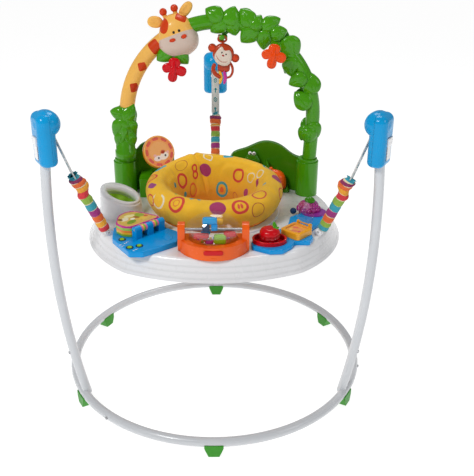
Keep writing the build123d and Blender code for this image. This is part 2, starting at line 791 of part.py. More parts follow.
with BuildPart() as mirror_pod:
    with BuildSketch(Plane(at(*POD, TRAY_TOP_Z))):
        Ellipse(58, 56)
    extrude(amount=120, taper=3)
    split(bisect_by=POD_SLOPE, keep=Keep.BOTTOM)
    fillet(mirror_pod.edges().sort_by(Axis.Z)[-1], 4)
    with BuildSketch(Plane(at(*POD, TRAY_TOP_Z + 10))):
        Ellipse(49, 47)
    extrude(amount=120, taper=3, mode=Mode.SUBTRACT)
save(mirror_pod, "mirror_pod")

with BuildPart() as mirror:
    with BuildSketch(Plane(at(*POD, TRAY_TOP_Z + 10))):
        Ellipse(44.5, 42.5)
    extrude(amount=60)
    split(bisect_by=POD_SLOPE.offset(-24), keep=Keep.BOTTOM)
    split(bisect_by=POD_SLOPE.offset(-27), keep=Keep.TOP)
save(mirror, "mirror")


# ------------------------------------------------------ panels at the back
def curved_panel(ends, profile, thick):
    """Wall along an arc in plan, cut to an outline in the front view."""
    with BuildPart(mode=Mode.PRIVATE) as wall:
        with BuildSketch(Plane(at(0, 0, TRAY_TOP_Z))):
            with BuildLine() as route:
                ThreePointArc(*ends)
            trace(line_width=thick)
        extrude(amount=170)
        with BuildSketch(Plane(at(0, 60, 0), x_dir=(1, 0, 0), z_dir=(0, -1, 0))):
            with BuildLine():
                Spline(*profile)
                Polyline(profile[-1], (profile[-1][0], TRAY_TOP_Z), (profile[0][0], TRAY_TOP_Z), profile[0])
            make_face()
        extrude(amount=-240, mode=Mode.INTERSECT)
    return wall.part


LION = at(-166, 150, 620)
LION_WAY = Vector(0.42, -0.78, 0.46).normalized()
LION_PLANE = Plane(LION, x_dir=(0.88, 0.47, 0), z_dir=LION_WAY)
LION_R = 48.0

with BuildPart() as lion_stand:
    add(curved_panel([(-242, 162), (-190, 196), (-122, 232)],
                     [(-240, 600), (-205, 640), (-160, 632), (-124, 590)], 12))
    with BuildSketch(LION_PLANE.offset(-1)):
        Circle(9)
    extrude(amount=-52)
    with BuildSketch(LION_PLANE.offset(-2)):
        Circle(AXLE_R)
    extrude(amount=11)
    with BuildSketch(Plane(at(-203, 144, TRAY_TOP_Z))):
        RectangleRounded(30, 92, 4)
    extrude(amount=56)
save(lion_stand, "lion_stand")

with BuildPart() as lion_disc:
    with BuildSketch(LION_PLANE):
        Circle(LION_R)
    extrude(amount=14)
    fillet(lion_disc.edges().filter_by(GeomType.CIRCLE), 4)
    with BuildSketch(LION_PLANE.offset(-1)):
        Circle(AXLE_R + FIT)
    extrude(amount=11, mode=Mode.SUBTRACT)
save(lion_disc, "lion_disc")

PEAR_FOOT = at(206, 146, 510)
PEAR_TOP = at(157, 152, 576)
PEAR_WAY = (PEAR_TOP - PEAR_FOOT).normalized()
PEAR_PIN_R = 2.5
pear_side = Plane(PEAR_FOOT, x_dir=PEAR_WAY, z_dir=PEAR_WAY.cross(Vector(0, 1, 0)))

with BuildPart() as hill_panel:
    add(curved_panel([(45, 244), (150, 212), (252, 152)],
                     [(45, 562), (56, 590), (90, 606), (145, 634), (200, 628), (230, 610), (252, 606)], 16))
    with BuildSketch(Plane(PEAR_FOOT, z_dir=PEAR_WAY).offset(-16)):
        Circle(8)
    extrude(amount=15)
    with BuildSketch(Plane(PEAR_FOOT, z_dir=PEAR_WAY).offset(-2)):
        Circle(PEAR_PIN_R)
    extrude(amount=(PEAR_TOP - PEAR_FOOT).length + 6)
    with BuildSketch(Plane(PEAR_TOP + PEAR_WAY * 3, z_dir=(0, 1, 0))):
        Circle(4)
    extrude(amount=52)
    with BuildSketch(Plane(at(0, 0, TRAY_TOP_Z - 30))):
        Rectangle(900, 900)
    extrude(amount=30, mode=Mode.SUBTRACT)
    add(arch_sockets.part, mode=Mode.SUBTRACT)
save(hill_panel, "hill_panel")

with BuildPart() as pear_spinner:
    with BuildSketch(pear_side):
        with BuildLine():
            Spline((0, 8), (12, 16), (30, 25), (52, 22), (66, 11), (76, 6))
            Polyline((76, 6), (76, 0), (0, 0), (0, 8))
        make_face()
    revolve(axis=Axis(PEAR_FOOT, PEAR_WAY))
    with BuildSketch(Plane(PEAR_FOOT, z_dir=PEAR_WAY).offset(-1)):
        Circle(PEAR_PIN_R + FIT)
    extrude(amount=100, mode=Mode.SUBTRACT)
save(pear_spinner, "pear_spinner")


# ------------------------------------------------- fruit toys, right front
APPLE = (141.0, -222.0)
APPLE_PIN_R = 3.0
BASE_TOP_Z = 511.0

with BuildPart() as fruit_base:
    with BuildSketch(Plane(at(0, 0, TRAY_TOP_Z))) as plan:
        with BuildLine():
            Polyline((94, -226), (96, -250), (140, -276), (172, -272), (196, -246), (206, -222),
                     (244, -222), (255, -196), (251, -150), (270, -122), (298, -86), (300, -34),
                     (250, -30), (206, -66), (196, -120), (160, -158), (128, -176), close=True)
        make_face()
        fillet(plan.vertices(), 8)
    extrude(amount=BASE_TOP_Z - TRAY_TOP_Z)
    fillet(fruit_base.faces().sort_by(Axis.Z)[-1].edges(), 3)
    with BuildSketch(Plane(at(*APPLE, BASE_TOP_Z - 4))):
        Ellipse(44, 34)
    extrude(amount=20, mode=Mode.SUBTRACT)
save(fruit_base, "fruit_base")

with BuildPart() as apple_dish:
    with BuildSketch(Plane(at(*APPLE, BASE_TOP_Z - 4))):
        Ellipse(43.5, 33.5)
    extrude(amount=12)
    with BuildSketch(Plane(at(*APPLE, BASE_TOP_Z - 1))):
        Ellipse(38, 29.5)
    extrude(amount=12, mode=Mode.SUBTRACT)
    with BuildSketch(Plane(at(*APPLE, BASE_TOP_Z - 4))):
        Circle(APPLE_PIN_R)
    extrude(amount=30)
save(apple_dish, "apple_dish")

with BuildPart() as apple_spinner:
    with BuildSketch(Plane(at(*APPLE, 0), x_dir=(1, 0, 0), z_dir=(0, -1, 0))):
        with BuildLine():
            Spline((14, 512), (24, 520), (27, 532), (18, 546), (5, 549))
            Polyline((5, 549), (0, 549), (0, 512), (14, 512))
        make_face()
    revolve(axis=Axis(at(*APPLE, 0), (0, 0, 1)))
    with BuildSketch(Plane(at(*APPLE, BASE_TOP_Z))):
        Circle(APPLE_PIN_R + FIT)
    extrude(amount=26.5, mode=Mode.SUBTRACT)
    with BuildSketch(Plane(at(APPLE[0] + 4, APPLE[1], 545), z_dir=(0.3, 0, 1))):
        Ellipse(8, 4)
    extrude(amount=12)
save(apple_spinner, "apple_spinner")

TILE = (213.0, -178.0)
TILE_TURN = -44.0
TILE_SIZE = 62.0
TILE_TOP_Z = 528.0
tile_turn = math.radians(TILE_TURN)
tile_plane = Plane(at(*TILE, BASE_TOP_Z), x_dir=(math.cos(tile_turn), math.sin(tile_turn), 0))
FLAP_PIN_R = 2.0
FLAP_AXIS_Z = TILE_TOP_Z + 3.5
flap_back = TILE_SIZE / 2 + 1


def tile_point(across, back, z):
    place = tile_plane.from_local_coords(Vector(across, back, 0))
    return Vector(place.X, place.Y, z)


TILE_ACROSS = (tile_point(1, 0, 0) - tile_point(0, 0, 0)).normalized()

with BuildPart() as tile_frame:
    with BuildSketch(tile_plane):
        RectangleRounded(TILE_SIZE, TILE_SIZE, 9)
    extrude(amount=TILE_TOP_Z - BASE_TOP_Z)
    fillet(tile_frame.faces().sort_by(Axis.Z)[-1].edges(), 3)
    with BuildSketch(tile_plane.offset(TILE_TOP_Z - BASE_TOP_Z - 4)):
        RectangleRounded(TILE_SIZE - 18, TILE_SIZE - 18, 6)
    extrude(amount=10, mode=Mode.SUBTRACT)
    for across in (-22, 16):
        with BuildSketch(Plane(tile_point(across, flap_back, FLAP_AXIS_Z), z_dir=TILE_ACROSS)):
            Circle(4.5)
        extrude(amount=6)
        with BuildSketch(Plane(tile_point(across, flap_back, BASE_TOP_Z), x_dir=TILE_ACROSS)):
            with Locations((3, 0)):
                Rectangle(6, 9)
        extrude(amount=FLAP_AXIS_Z - BASE_TOP_Z)
    with BuildSketch(Plane(tile_point(-22, flap_back, FLAP_AXIS_Z), z_dir=TILE_ACROSS)):
        Circle(FLAP_PIN_R)
    extrude(amount=44)
save(tile_frame, "tile_frame")

FLAP_LEAN = 10.0  # degrees that the open flap leans back past upright
flap_lean = math.radians(FLAP_LEAN)
tile_back = TILE_ACROSS.cross(Vector(0, 0, 1)) * -1
flap_up = Vector(0, 0, 1) * math.cos(flap_lean) + tile_back * math.sin(flap_lean)
flap_plane = Plane(tile_point(0, flap_back, FLAP_AXIS_Z), x_dir=TILE_ACROSS, z_dir=TILE_ACROSS.cross(flap_up))

with BuildPart() as tile_flap:
    with BuildSketch(flap_plane):
        with Locations((0, 31)):
            RectangleRounded(52, 50, 8)
    extrude(amount=1.25, both=True)
    with BuildSketch(Plane(tile_point(-15.5, flap_back, FLAP_AXIS_Z), z_dir=TILE_ACROSS)):
        Circle(4.2)
    extrude(amount=31)
    with BuildSketch(flap_plane):
        with Locations((0, 4)):
            Rectangle(31, 8)
    extrude(amount=1.25, both=True)
    with BuildSketch(Plane(tile_point(-30, flap_back, FLAP_AXIS_Z), z_dir=TILE_ACROSS)):
        Circle(FLAP_PIN_R + FIT)
    extrude(amount=60, mode=Mode.SUBTRACT)
save(tile_flap, "tile_flap")

BERRIES = (262.0, -14.0)
with BuildPart() as berry_plate:
    with BuildSketch(Plane(at(274, -40, BASE_TOP_Z))):
        Ellipse(34, 30)
    extrude(amount=4)
    with BuildSketch(Plane(at(*BERRIES, TRAY_TOP_Z))):
        Ellipse(27, 20)
    extrude(amount=36)
    fillet(berry_plate.faces().sort_by(Axis.Z)[-1].edges(), 12)
    add(fruit_base.part, mode=Mode.SUBTRACT)
save(berry_plate, "berry_plate")
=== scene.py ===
import random
from math import atan2, copysign, cos, degrees, exp, hypot, pi, radians, sin, sqrt

import bpy
import numpy as np
from mathutils import Matrix, Vector, noise


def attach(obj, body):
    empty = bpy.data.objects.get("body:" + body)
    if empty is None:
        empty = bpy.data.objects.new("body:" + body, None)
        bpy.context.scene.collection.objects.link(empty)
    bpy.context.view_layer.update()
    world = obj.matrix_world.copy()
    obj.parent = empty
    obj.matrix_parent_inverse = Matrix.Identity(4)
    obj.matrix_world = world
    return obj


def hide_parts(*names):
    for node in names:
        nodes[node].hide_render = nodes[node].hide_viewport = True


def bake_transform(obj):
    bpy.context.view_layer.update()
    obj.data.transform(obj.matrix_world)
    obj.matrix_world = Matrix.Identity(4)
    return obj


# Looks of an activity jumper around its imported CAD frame. Places are in
# millimetres from the middle of the floor ring, as in the part's source.

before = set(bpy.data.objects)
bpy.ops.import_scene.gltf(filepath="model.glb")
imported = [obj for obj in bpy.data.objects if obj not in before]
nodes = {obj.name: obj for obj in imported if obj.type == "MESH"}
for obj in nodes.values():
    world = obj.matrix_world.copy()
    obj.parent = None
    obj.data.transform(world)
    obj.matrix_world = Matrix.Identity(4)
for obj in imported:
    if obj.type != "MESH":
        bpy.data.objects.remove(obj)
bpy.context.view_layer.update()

CENTRE_Y = -27.0
POST_ANGLES = {"left": 60.0, "right": -60.0, "rear": 180.0}
UP = Vector((0, 0, 1))
FRONT = Vector((0, -1, 0))


def at(x, y, z):
    return Vector((x, y + CENTRE_Y, z)) / 1000


def out(angle):
    """Unit vector away from the centre; 0 degrees is the front, + the left."""
    a = radians(angle)
    return Vector((-sin(a), -cos(a), 0))


def polar(angle, reach, z):
    way = out(angle) * reach
    return at(way.x, way.y, z)


def facing(place, forward=FRONT, up=UP, turn=0.0):
    """Millimetres to metres: local Z looks forward, local Y up, turned anticlockwise."""
    z = Vector(forward).normalized()
    x = Vector(up).cross(z).normalized()
    turned = Matrix((x, z.cross(x), z)).transposed() @ Matrix.Rotation(radians(turn), 3, "Z")
    return Matrix.Translation(place) @ (turned * 0.001).to_4x4()


def level(x, y, z):
    """Lying flat at a point: local Z up, local Y to the back."""
    return facing(at(x, y, z), UP, (0, 1, 0))


def moved(place, x, y, z=0.0, turn=0.0):
    """A place shifted by its own millimetres, then turned in its own plane."""
    return place @ Matrix.Translation((x, y, z)) @ Matrix.Rotation(radians(turn), 4, "Z")


def angles(count, phase=0.0):
    """Even turns round a circle, in radians."""
    return [2 * pi * (i + phase) / count for i in range(count)]


def put(name, data):
    """A new object in the scene."""
    made = bpy.data.objects.new(name, data)
    bpy.context.scene.collection.objects.link(made)
    return made


# ---------------------------------------------------------------- camera, light
def look(thing, target, roll=0.0):
    away = thing.location - Vector(target)
    rolled = Matrix.Rotation(roll, 3, "Z").to_quaternion()
    thing.rotation_euler = (away.to_track_quat("Z", "Y") @ rolled).to_euler()


def make_camera():
    camera = put("camera", bpy.data.cameras.new("camera"))
    camera.data.lens = 56.6
    camera.location = at(21.5, -1930, 1328.5)
    look(camera, at(63.6, -1.4, 416.1), radians(0.5))
    bpy.context.scene.camera = camera


def soft_light(name, place, size, power):
    lamp = put(name, bpy.data.lights.new(name, "AREA"))
    lamp.data.shape = "DISK"
    lamp.data.size = size
    lamp.data.energy = power
    lamp.location = place
    look(lamp, (0, 0, 0.5))


def make_studio():
    world = bpy.data.worlds.new("studio")
    world.use_nodes = True
    sky = world.node_tree.nodes["Background"].inputs
    sky["Color"].default_value = (1, 1, 1, 1)
    sky["Strength"].default_value = 0.26
    bpy.context.scene.world = world
    bpy.context.scene.view_settings.view_transform = "Standard"
    soft_light("key", (-1.7, -2.2, 3.1), 0.9, 62)
    soft_light("fill", (2.4, -1.4, 2.2), 1.2, 9)
    soft_light("top", (0.3, 1.2, 3.2), 1.4, 26)
    bpy.ops.mesh.primitive_circle_add(vertices=96, radius=40, fill_type="NGON")
    floor = bpy.context.object
    floor.name = "floor"
    paper, tree, shader = new_material("paper", Roughness=0.9, Emission_Color=(1, 1, 1, 1),
                                       Emission_Strength=0.885)
    dress(tree, shader, mottled(tree, tint("#989898"), 3.0, 0.01))
    floor.data.materials.append(paper)


# ------------------------------------------------------------------- materials
def tint(code):
    """Linear colour from an sRGB hex code."""
    parts = [int(code[i:i + 2], 16) / 255 for i in (1, 3, 5)]
    return tuple(c / 12.92 if c <= 0.04045 else ((c + 0.055) / 1.055) ** 2.4 for c in parts) + (1.0,)


def add(tree, kind, inputs=None, **settings):
    """Adds a shader node; an input is a socket to link or a value to set."""
    made = tree.nodes.new("ShaderNode" + kind)
    for key, value in settings.items():
        setattr(made, key, value)
    for key, value in (inputs or {}).items():
        if isinstance(value, bpy.types.NodeSocket):
            tree.links.new(value, made.inputs[key])
        else:
            made.inputs[key].default_value = value
    return made


def new_material(name, **sockets):
    material = bpy.data.materials.new(name)
    material.use_nodes = True
    tree = material.node_tree
    shader = tree.nodes["Principled BSDF"]
    for key, value in sockets.items():
        shader.inputs[key.replace("_", " ")].default_value = value
    return material, tree, shader


def dress(tree, shader, colour=None, roughness=None, normal=None):
    """Links sockets to the shader's own."""
    for key, socket in (("Base Color", colour), ("Roughness", roughness), ("Normal", normal)):
        if socket is not None:
            tree.links.new(socket, shader.inputs[key])


def maths(tree, operation, *values, kind="Math", **settings):
    return add(tree, kind, dict(enumerate(values)), operation=operation, **settings).outputs[0]


def place_of(tree):
    return add(tree, "TexCoord").outputs["Object"]


def noise_of(tree, scale, detail=3.0):
    return add(tree, "TexNoise", {"Vector": place_of(tree), "Scale": scale, "Detail": detail}).outputs["Fac"]


def ranged(tree, value, start, end, low=0.0, high=1.0, **settings):
    """A value between start and end, moved to between low and high."""
    return add(tree, "MapRange", {"Value": value, "From Min": start, "From Max": end, "To Min": low,
                                  "To Max": high}, **settings).outputs["Result"]


def mapped(tree, value, low, high):
    """The middle of a noise spread from low to high."""
    return ranged(tree, value, 0.3, 0.7, low, high)


def mixed(tree, factor, a, b):
    """Colour a where the factor is 0, b where it is 1."""
    mix = tree.nodes.new("ShaderNodeMix")
    mix.data_type = "RGBA"
    for key, value in ((0, factor), (6, a), (7, b)):
        if isinstance(value, bpy.types.NodeSocket):
            tree.links.new(value, mix.inputs[key])
        else:
            mix.inputs[key].default_value = value
    return mix.outputs[2]


def mottled(tree, colour, scale, amount):
    """A colour, socket or value, that drifts lighter and darker."""
    drift = mapped(tree, noise_of(tree, scale), 1 - amount, 1 + amount)
    return add(tree, "HueSaturation", {"Color": colour, "Value": drift}).outputs["Color"]


def bumped(tree, height, distance, normal=None):
    inputs = {"Height": height, "Distance": distance}
    if normal:
        inputs["Normal"] = normal
    return add(tree, "Bump", inputs).outputs["Normal"]


def spot_group():
    """Mask of one printed mark: a superellipse, filled or drawn as a line.
    A point's distance is 1 on the outline; the mark is Ring plus or minus Band."""
    group = bpy.data.node_groups.new("spot", "ShaderNodeTree")
    sockets = group.interface
    for name, kind in (("Flat", "Vector"), ("Centre", "Vector"), ("Half", "Vector"), ("Turn", "Float"),
                       ("Power", "Float"), ("Ring", "Float"), ("Band", "Float")):
        sockets.new_socket(name, in_out="INPUT", socket_type="NodeSocket" + kind)
    sockets.new_socket("Mask", in_out="OUTPUT", socket_type="NodeSocketFloat")
    given = group.nodes.new("NodeGroupInput").outputs

    def calc(operation, *values, **settings):
        return maths(group, operation, *values, **settings)

    away = calc("SUBTRACT", given["Flat"], given["Centre"], kind="VectorMath")
    turned = add(group, "VectorRotate", {"Vector": away, "Angle": calc("MULTIPLY", given["Turn"], -1.0)},
                 rotation_type="Z_AXIS").outputs[0]
    scaled = calc("DIVIDE", turned, given["Half"], kind="VectorMath")
    sides = add(group, "SeparateXYZ", {0: scaled}).outputs
    powers = [calc("POWER", calc("ABSOLUTE", sides[i]), given["Power"]) for i in (0, 1)]
    distance = calc("POWER", calc("ADD", *powers), calc("DIVIDE", 1.0, given["Power"]))
    inside = calc("SUBTRACT", given["Band"], calc("ABSOLUTE", calc("SUBTRACT", distance, given["Ring"])))
    mask = calc("MULTIPLY", inside, 25.0, use_clamp=True)
    group.links.new(mask, group.nodes.new("NodeGroupOutput").inputs["Mask"])
    return group


SPOT = spot_group()


def disc(x, y, a, b, colour, turn=0.0, power=2.0):
    return dict(centre=(x, y, 0), half=(a, b, 1), colour=colour, turn=turn, power=power, ring=0.0, band=1.0)


def hoop(x, y, a, b, colour, line=2.5, turn=0.0, power=2.0):
    return dict(disc(x, y, a, b, colour, turn, power), ring=1.0, band=line / (a + b))


def printed(tree, flat, ground, marks):
    """The ground colour with marks printed over it, in order. flat is in millimetres."""
    for mark in marks:
        spot = tree.nodes.new("ShaderNodeGroup")
        spot.node_tree = SPOT
        tree.links.new(flat, spot.inputs["Flat"])
        for key in ("centre", "half", "power", "ring", "band"):
            spot.inputs[key.capitalize()].default_value = mark[key]
        spot.inputs["Turn"].default_value = radians(mark["turn"])
        ground = mixed(tree, spot.outputs["Mask"], ground, tint(mark["colour"]))
    return ground


def flat_on(tree, centre, across, up):
    """Millimetres across and up from a centre, in a plane through the model."""
    away = maths(tree, "SUBTRACT", place_of(tree), centre, kind="VectorMath")
    parts = [add(tree, "VectorMath", {0: away, 1: Vector(way).normalized() * 1000},
                 operation="DOT_PRODUCT").outputs["Value"] for way in (across, up)]
    return add(tree, "CombineXYZ", {0: parts[0], 1: parts[1]}).outputs[0]


def moulded(name, colour, roughness=0.26, coat=0.12, soften=0.0012, marks=(), flat=None, wear=0.05):
    """Glossy moulded plastic: uneven colour, fine grain, softened edges."""
    material, tree, shader = new_material(name, Coat_Weight=coat, Coat_Roughness=0.06, Specular_IOR_Level=0.2)
    ground = mottled(tree, tint(colour), 14.0, wear)
    if marks:
        ground = printed(tree, flat_on(tree, *flat), ground, marks)
    rounded = add(tree, "Bevel", {"Radius": soften}, samples=4).outputs["Normal"]
    dress(tree, shader, ground, mapped(tree, noise_of(tree, 60.0), roughness * 0.8, roughness * 1.3),
          bumped(tree, noise_of(tree, 420.0, 2.0), 0.00006, rounded))
    return material


def metal(name, colour, roughness):
    material, tree, shader = new_material(name, Metallic=1.0)
    dress(tree, shader, mottled(tree, tint(colour), 90.0, 0.1),
          mapped(tree, noise_of(tree, 500.0), roughness, roughness * 1.6),
          bumped(tree, noise_of(tree, 900.0), 0.00004))
    return material


WAVE_PER_MM = 0.314  # wave texture scale that gives one band a millimetre


def woven(name, colour, thread=1.1, marks=(), flat=None, shade=None, painted_shade_span=None, roughness=0.8):
    """Plain-weave cloth over a map in millimetres; marks are printed on it. The
    shade comes in blotches, or grows as painted shade across the map between the two ends of fade."""
    material, tree, shader = new_material(name, Roughness=roughness, Sheen_Weight=0.1, Sheen_Roughness=0.5,
                                          Specular_IOR_Level=0.2)
    if flat is None:
        cloth_map = add(tree, "UVMap", uv_map="cloth").outputs[0]
        flat = maths(tree, "MULTIPLY", cloth_map, (1000, 1000, 0), kind="VectorMath")
    else:
        flat = flat_on(tree, *flat)
    wobble = add(tree, "TexNoise", {"Vector": place_of(tree), "Scale": 45.0}).outputs["Color"]
    wobble = maths(tree, "SUBTRACT", wobble, (0.5, 0.5, 0.5), kind="VectorMath")
    wobbly = maths(tree, "MULTIPLY_ADD", wobble, (5, 5, 0), flat, kind="VectorMath")
    ground = mottled(tree, tint(colour), 22.0, 0.07)
    if shade:
        blotches = noise_of(tree, 9.0, 1.0)
        amount = mapped(tree, blotches, 0.0, 0.75)
        # painted shade: the shade colour grows in between the two ends of the span
        if painted_shade_span:
            over = add(tree, "SeparateXYZ", {0: flat}).outputs["Y"]
            amount = maths(tree, "MULTIPLY", ranged(tree, over, *painted_shade_span), mapped(tree, blotches, 0.75, 1.0))
        ground = mixed(tree, amount, ground, tint(shade))
    ground = printed(tree, wobbly, ground, marks)
    threads = [add(tree, "TexWave", {"Vector": flat, "Scale": WAVE_PER_MM / thread, "Distortion": 0.4},
                   bands_direction=way).outputs["Fac"] for way in "XY"]
    weave = maths(tree, "MULTIPLY", *threads)
    dress(tree, shader, mixed(tree, maths(tree, "MULTIPLY", weave, 0.12), ground, (1, 1, 1, 1)),
          normal=bumped(tree, weave, 0.00025, bumped(tree, noise_of(tree, 70.0), 0.0012)))
    return material


def clear(name, colour, alpha=0.045, roughness=0.03):
    """Clear plastic: a thin share of mirror over nothing."""
    material, tree, shader = new_material(name, Base_Color=tint(colour), Alpha=alpha, Metallic=1.0)
    dress(tree, shader, roughness=mapped(tree, noise_of(tree, 40.0), roughness, roughness * 2))
    return material


# ---------------------------------------------------------------------- shapes
# A shape is (points, faces) in millimetres, placed by a matrix from facing().
def skin(loops, capped=True):
    """Quads between equal closed loops."""
    count = len(loops[0])
    faces = [(row * count + i, row * count + (i + 1) % count, (row + 1) * count + (i + 1) % count,
              (row + 1) * count + i) for row in range(len(loops) - 1) for i in range(count)]
    if capped:
        faces += [tuple(reversed(range(count))), tuple(range((len(loops) - 1) * count, len(loops) * count))]
    return [p for loop in loops for p in loop], faces


def lathe(profile, sides=36, lobes=0, depth=0.0):
    """Turns (radius, height) pairs about local Z; lobes flute it."""
    loops = []
    for radius, height in profile:
        flutes = [radius * (1 + depth * abs(cos(lobes * a / 2)) - depth) for a in angles(sides)]
        loops.append([(r * cos(a), r * sin(a), height) for r, a in zip(flutes, angles(sides))])
    return skin(loops)


def ball(a, b=None, c=None, sides=24):
    """Ellipsoid with half sizes a, b, c."""
    b, c = b or a, c or a
    turns = [pi * (i + 0.25) / (sides // 2 + 0.5) for i in range(sides // 2 + 1)]
    points, faces = lathe([(sin(t), -cos(t)) for t in turns], sides)
    return [(x * a, y * b, z * c) for x, y, z in points], faces


def smooth(points, count=48, closed=True):
    """Even points along a Catmull-Rom curve through hand-set ones."""
    given = [Vector(p) for p in points]
    spans = len(given) if closed else len(given) - 1

    def fetch(i):
        return given[i % len(given)] if closed else given[max(0, min(i, len(given) - 1))]

    made = []
    for k in range(count):
        t = k * spans / (count if closed else count - 1)
        i = min(int(t), spans - 1)
        f = t - i
        a, b, c, d = (fetch(i + j) for j in (-1, 0, 1, 2))
        made.append(b + (c - a) * f / 2 + (a * 2 - b * 5 + c * 4 - d) * f * f / 2
                    + (b * 3 - a - c * 3 + d) * f ** 3 / 2)
    return made


def oval(a, b, power=2.0, count=40):
    """Superellipse with half sizes a and b, in local XY."""
    def eased(share):
        return copysign(abs(share) ** (2 / power), share)

    return [Vector((a * eased(cos(t)), b * eased(sin(t)))) for t in angles(count)]


def circle(radius, count=28, height=0):
    return [(radius * cos(a), radius * sin(a), height) for a in angles(count)]


def pillow(outline, front, back, power=2.3, rings=14):
    """An outline in local XY blown up to a height in front and behind."""
    middle = sum((Vector(p[:2]) for p in outline), Vector((0, 0))) / len(outline)
    loops = []
    for i in range(rings + 1):
        t = pi * (0.02 + 0.96 * i / rings) - pi / 2
        share = abs(cos(t)) ** (2 / power)
        lift = copysign(abs(sin(t)) ** (2 / power), t) * (front if t > 0 else back)
        loops.append([(*(middle + (Vector(p[:2]) - middle) * share), lift) for p in outline])
    return skin(loops)


def rod(path, radius, sides=14, closed=False, flat=1.0):
    """Round bar along points; radius is a number or one for each point."""
    points = [Vector(p) for p in path]
    radii = [radius] * len(points) if isinstance(radius, (int, float)) else list(radius)
    if not closed:  # rounded ends
        for end, inner in ((0, 1), (-1, -2)):
            way = (points[end] - points[inner]).normalized()
            caps = [(points[end] + way * radii[end] * sin(a), radii[end] * cos(a)) for a in (0.5, 1.0, 1.4)]
            if end:
                points += [c[0] for c in caps]
                radii += [c[1] for c in caps]
            else:
                points = [c[0] for c in reversed(caps)] + points
                radii = [c[1] for c in reversed(caps)] + radii
    side = None
    loops = []
    for i, point in enumerate(points):
        before = points[i - 1] if closed or i else points[0]
        after = points[(i + 1) % len(points)] if closed or i < len(points) - 1 else points[-1]
        way = (after - before).normalized()
        side = (side - way * side.dot(way)).normalized() if side else way.orthogonal().normalized()
        other = way.cross(side)
        loops.append([point + (side * cos(a) + other * sin(a) * flat) * radii[i] for a in angles(sides)])
    made, faces = skin(loops, capped=not closed)
    if closed:
        last = (len(loops) - 1) * sides
        faces += [(last + i, last + (i + 1) % sides, (i + 1) % sides, i) for i in range(sides)]
    return made, faces


def dished(shape, depth, a, b):
    """Presses a hollow with half sizes a and b into the front of a shape."""
    points, faces = shape
    return [(x, y, z - depth * exp(-(x / a) ** 2 - (y / b) ** 2) * (z > 0)) for x, y, z in points], faces


def leaf(length, width, thick, bend=0.0):
    """Plump pointed leaf from its stalk at the origin to its tip up local Y."""
    half = [(0.0, 0.0), (0.32, 0.08), (0.5, 0.32), (0.47, 0.56), (0.27, 0.82), (0.05, 0.98)]
    side = [(x * width, y * length) for x, y in half]
    outline = smooth(side + [(-x, y) for x, y in reversed(side[1:])], 44)
    points, faces = pillow(outline, thick, thick * 0.5)
    made = []
    for x, y, z in points:
        vein = exp(-(x / (0.04 * width)) ** 2) * thick * 0.12
        ribs = 0.02 * thick * cos((y - abs(x) * 0.8) * 2 * pi / (0.2 * length))
        relief = (vein + ribs) * max(0.0, z / thick)
        made.append((x, y, z - relief - bend * (y / length) ** 2 - bend * 1.3 * (x / width) ** 2))
    return made, faces


class Sculpt:
    """Gathers shapes made in millimetres into one piece."""

    def __init__(self):
        self.points, self.faces, self.finishes, self.materials = [], [], [], []

    def add(self, shape, place, material):
        points, faces = shape
        first = len(self.points)
        self.points += [place @ Vector(p) for p in points]
        self.faces += [[first + i for i in face] for face in faces]
        if material not in self.materials:
            self.materials.append(material)
        self.finishes += [self.materials.index(material)] * len(faces)
        return self

    def piece(self, name, body=None, slot=None, replaces=(), cloth_map=None):
        mesh = bpy.data.meshes.new(name)
        mesh.from_pydata(self.points, [], self.faces)
        for material in self.materials:
            mesh.materials.append(material)
        mesh.polygons.foreach_set("material_index", self.finishes)
        mesh.shade_smooth()
        if cloth_map is not None:
            mesh.uv_layers.new(name="cloth").data.foreach_set("uv", np.array(cloth_map, np.float32).ravel())
        made = put(name, mesh)
        if body:
            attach(made, body)
        if replaces:
            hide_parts(*replaces)
        return made


def paint(material, *names):
    """Gives CAD nodes their finish, smooth over all but their real edges."""
    for name in names:
        mesh = nodes[name].data
        mesh.materials.clear()
        mesh.materials.append(material)
        mesh.shade_smooth()
        mesh.set_sharp_from_angle(angle=radians(28))


make_camera()
make_studio()

GREEN = moulded("leaf green plastic", "#469607", 0.17, 0.35)
DARK_GREEN = moulded("dark green plastic", "#3b7d0c", 0.2, 0.3)
YELLOW_TOY = moulded("warm yellow plastic", "#efb658", 0.34, 0.15)
RUST = moulded("rust plastic", "#cf3d10", 0.34, 0.15)
BROWN = moulded("brown-red plastic", "#b23c17", 0.3, 0.25)
CREAM = moulded("cream face plastic", "#d8cabb", 0.4, 0.1)
BLACK = moulded("black print", "#1a1414", 0.3)
RED = moulded("red plastic", "#cc0414", 0.2, 0.15)
DEEP_RED = moulded("deep red plastic", "#a5060f", 0.22, 0.3)
ORANGE = moulded("orange plastic", "#ea4a04", 0.22, 0.15)
WHITE = moulded("white plastic", "#f1f1f3", 0.26, 0.3, wear=0.01)
BLUE = moulded("toy blue plastic", "#0094dc", 0.22, 0.15)
SKY = moulded("light blue plastic", "#18a2e2", 0.2, 0.3)
NAVY = moulded("navy plastic", "#15365e", 0.25)
LIME = moulded("lime plastic", "#8cc01e", 0.25, 0.4)
PURPLE = moulded("purple plastic", "#8d2c96", 0.25, 0.4)
GRAPE = moulded("grape plastic", "#a3117f", 0.2, 0.5)
YELLOW = moulded("yellow plastic", "#f2b61c", 0.25, 0.4)
MAGENTA = moulded("magenta plastic", "#c42d92", 0.25, 0.4)
STEEL = metal("zinc steel", "#b9babd", 0.28)


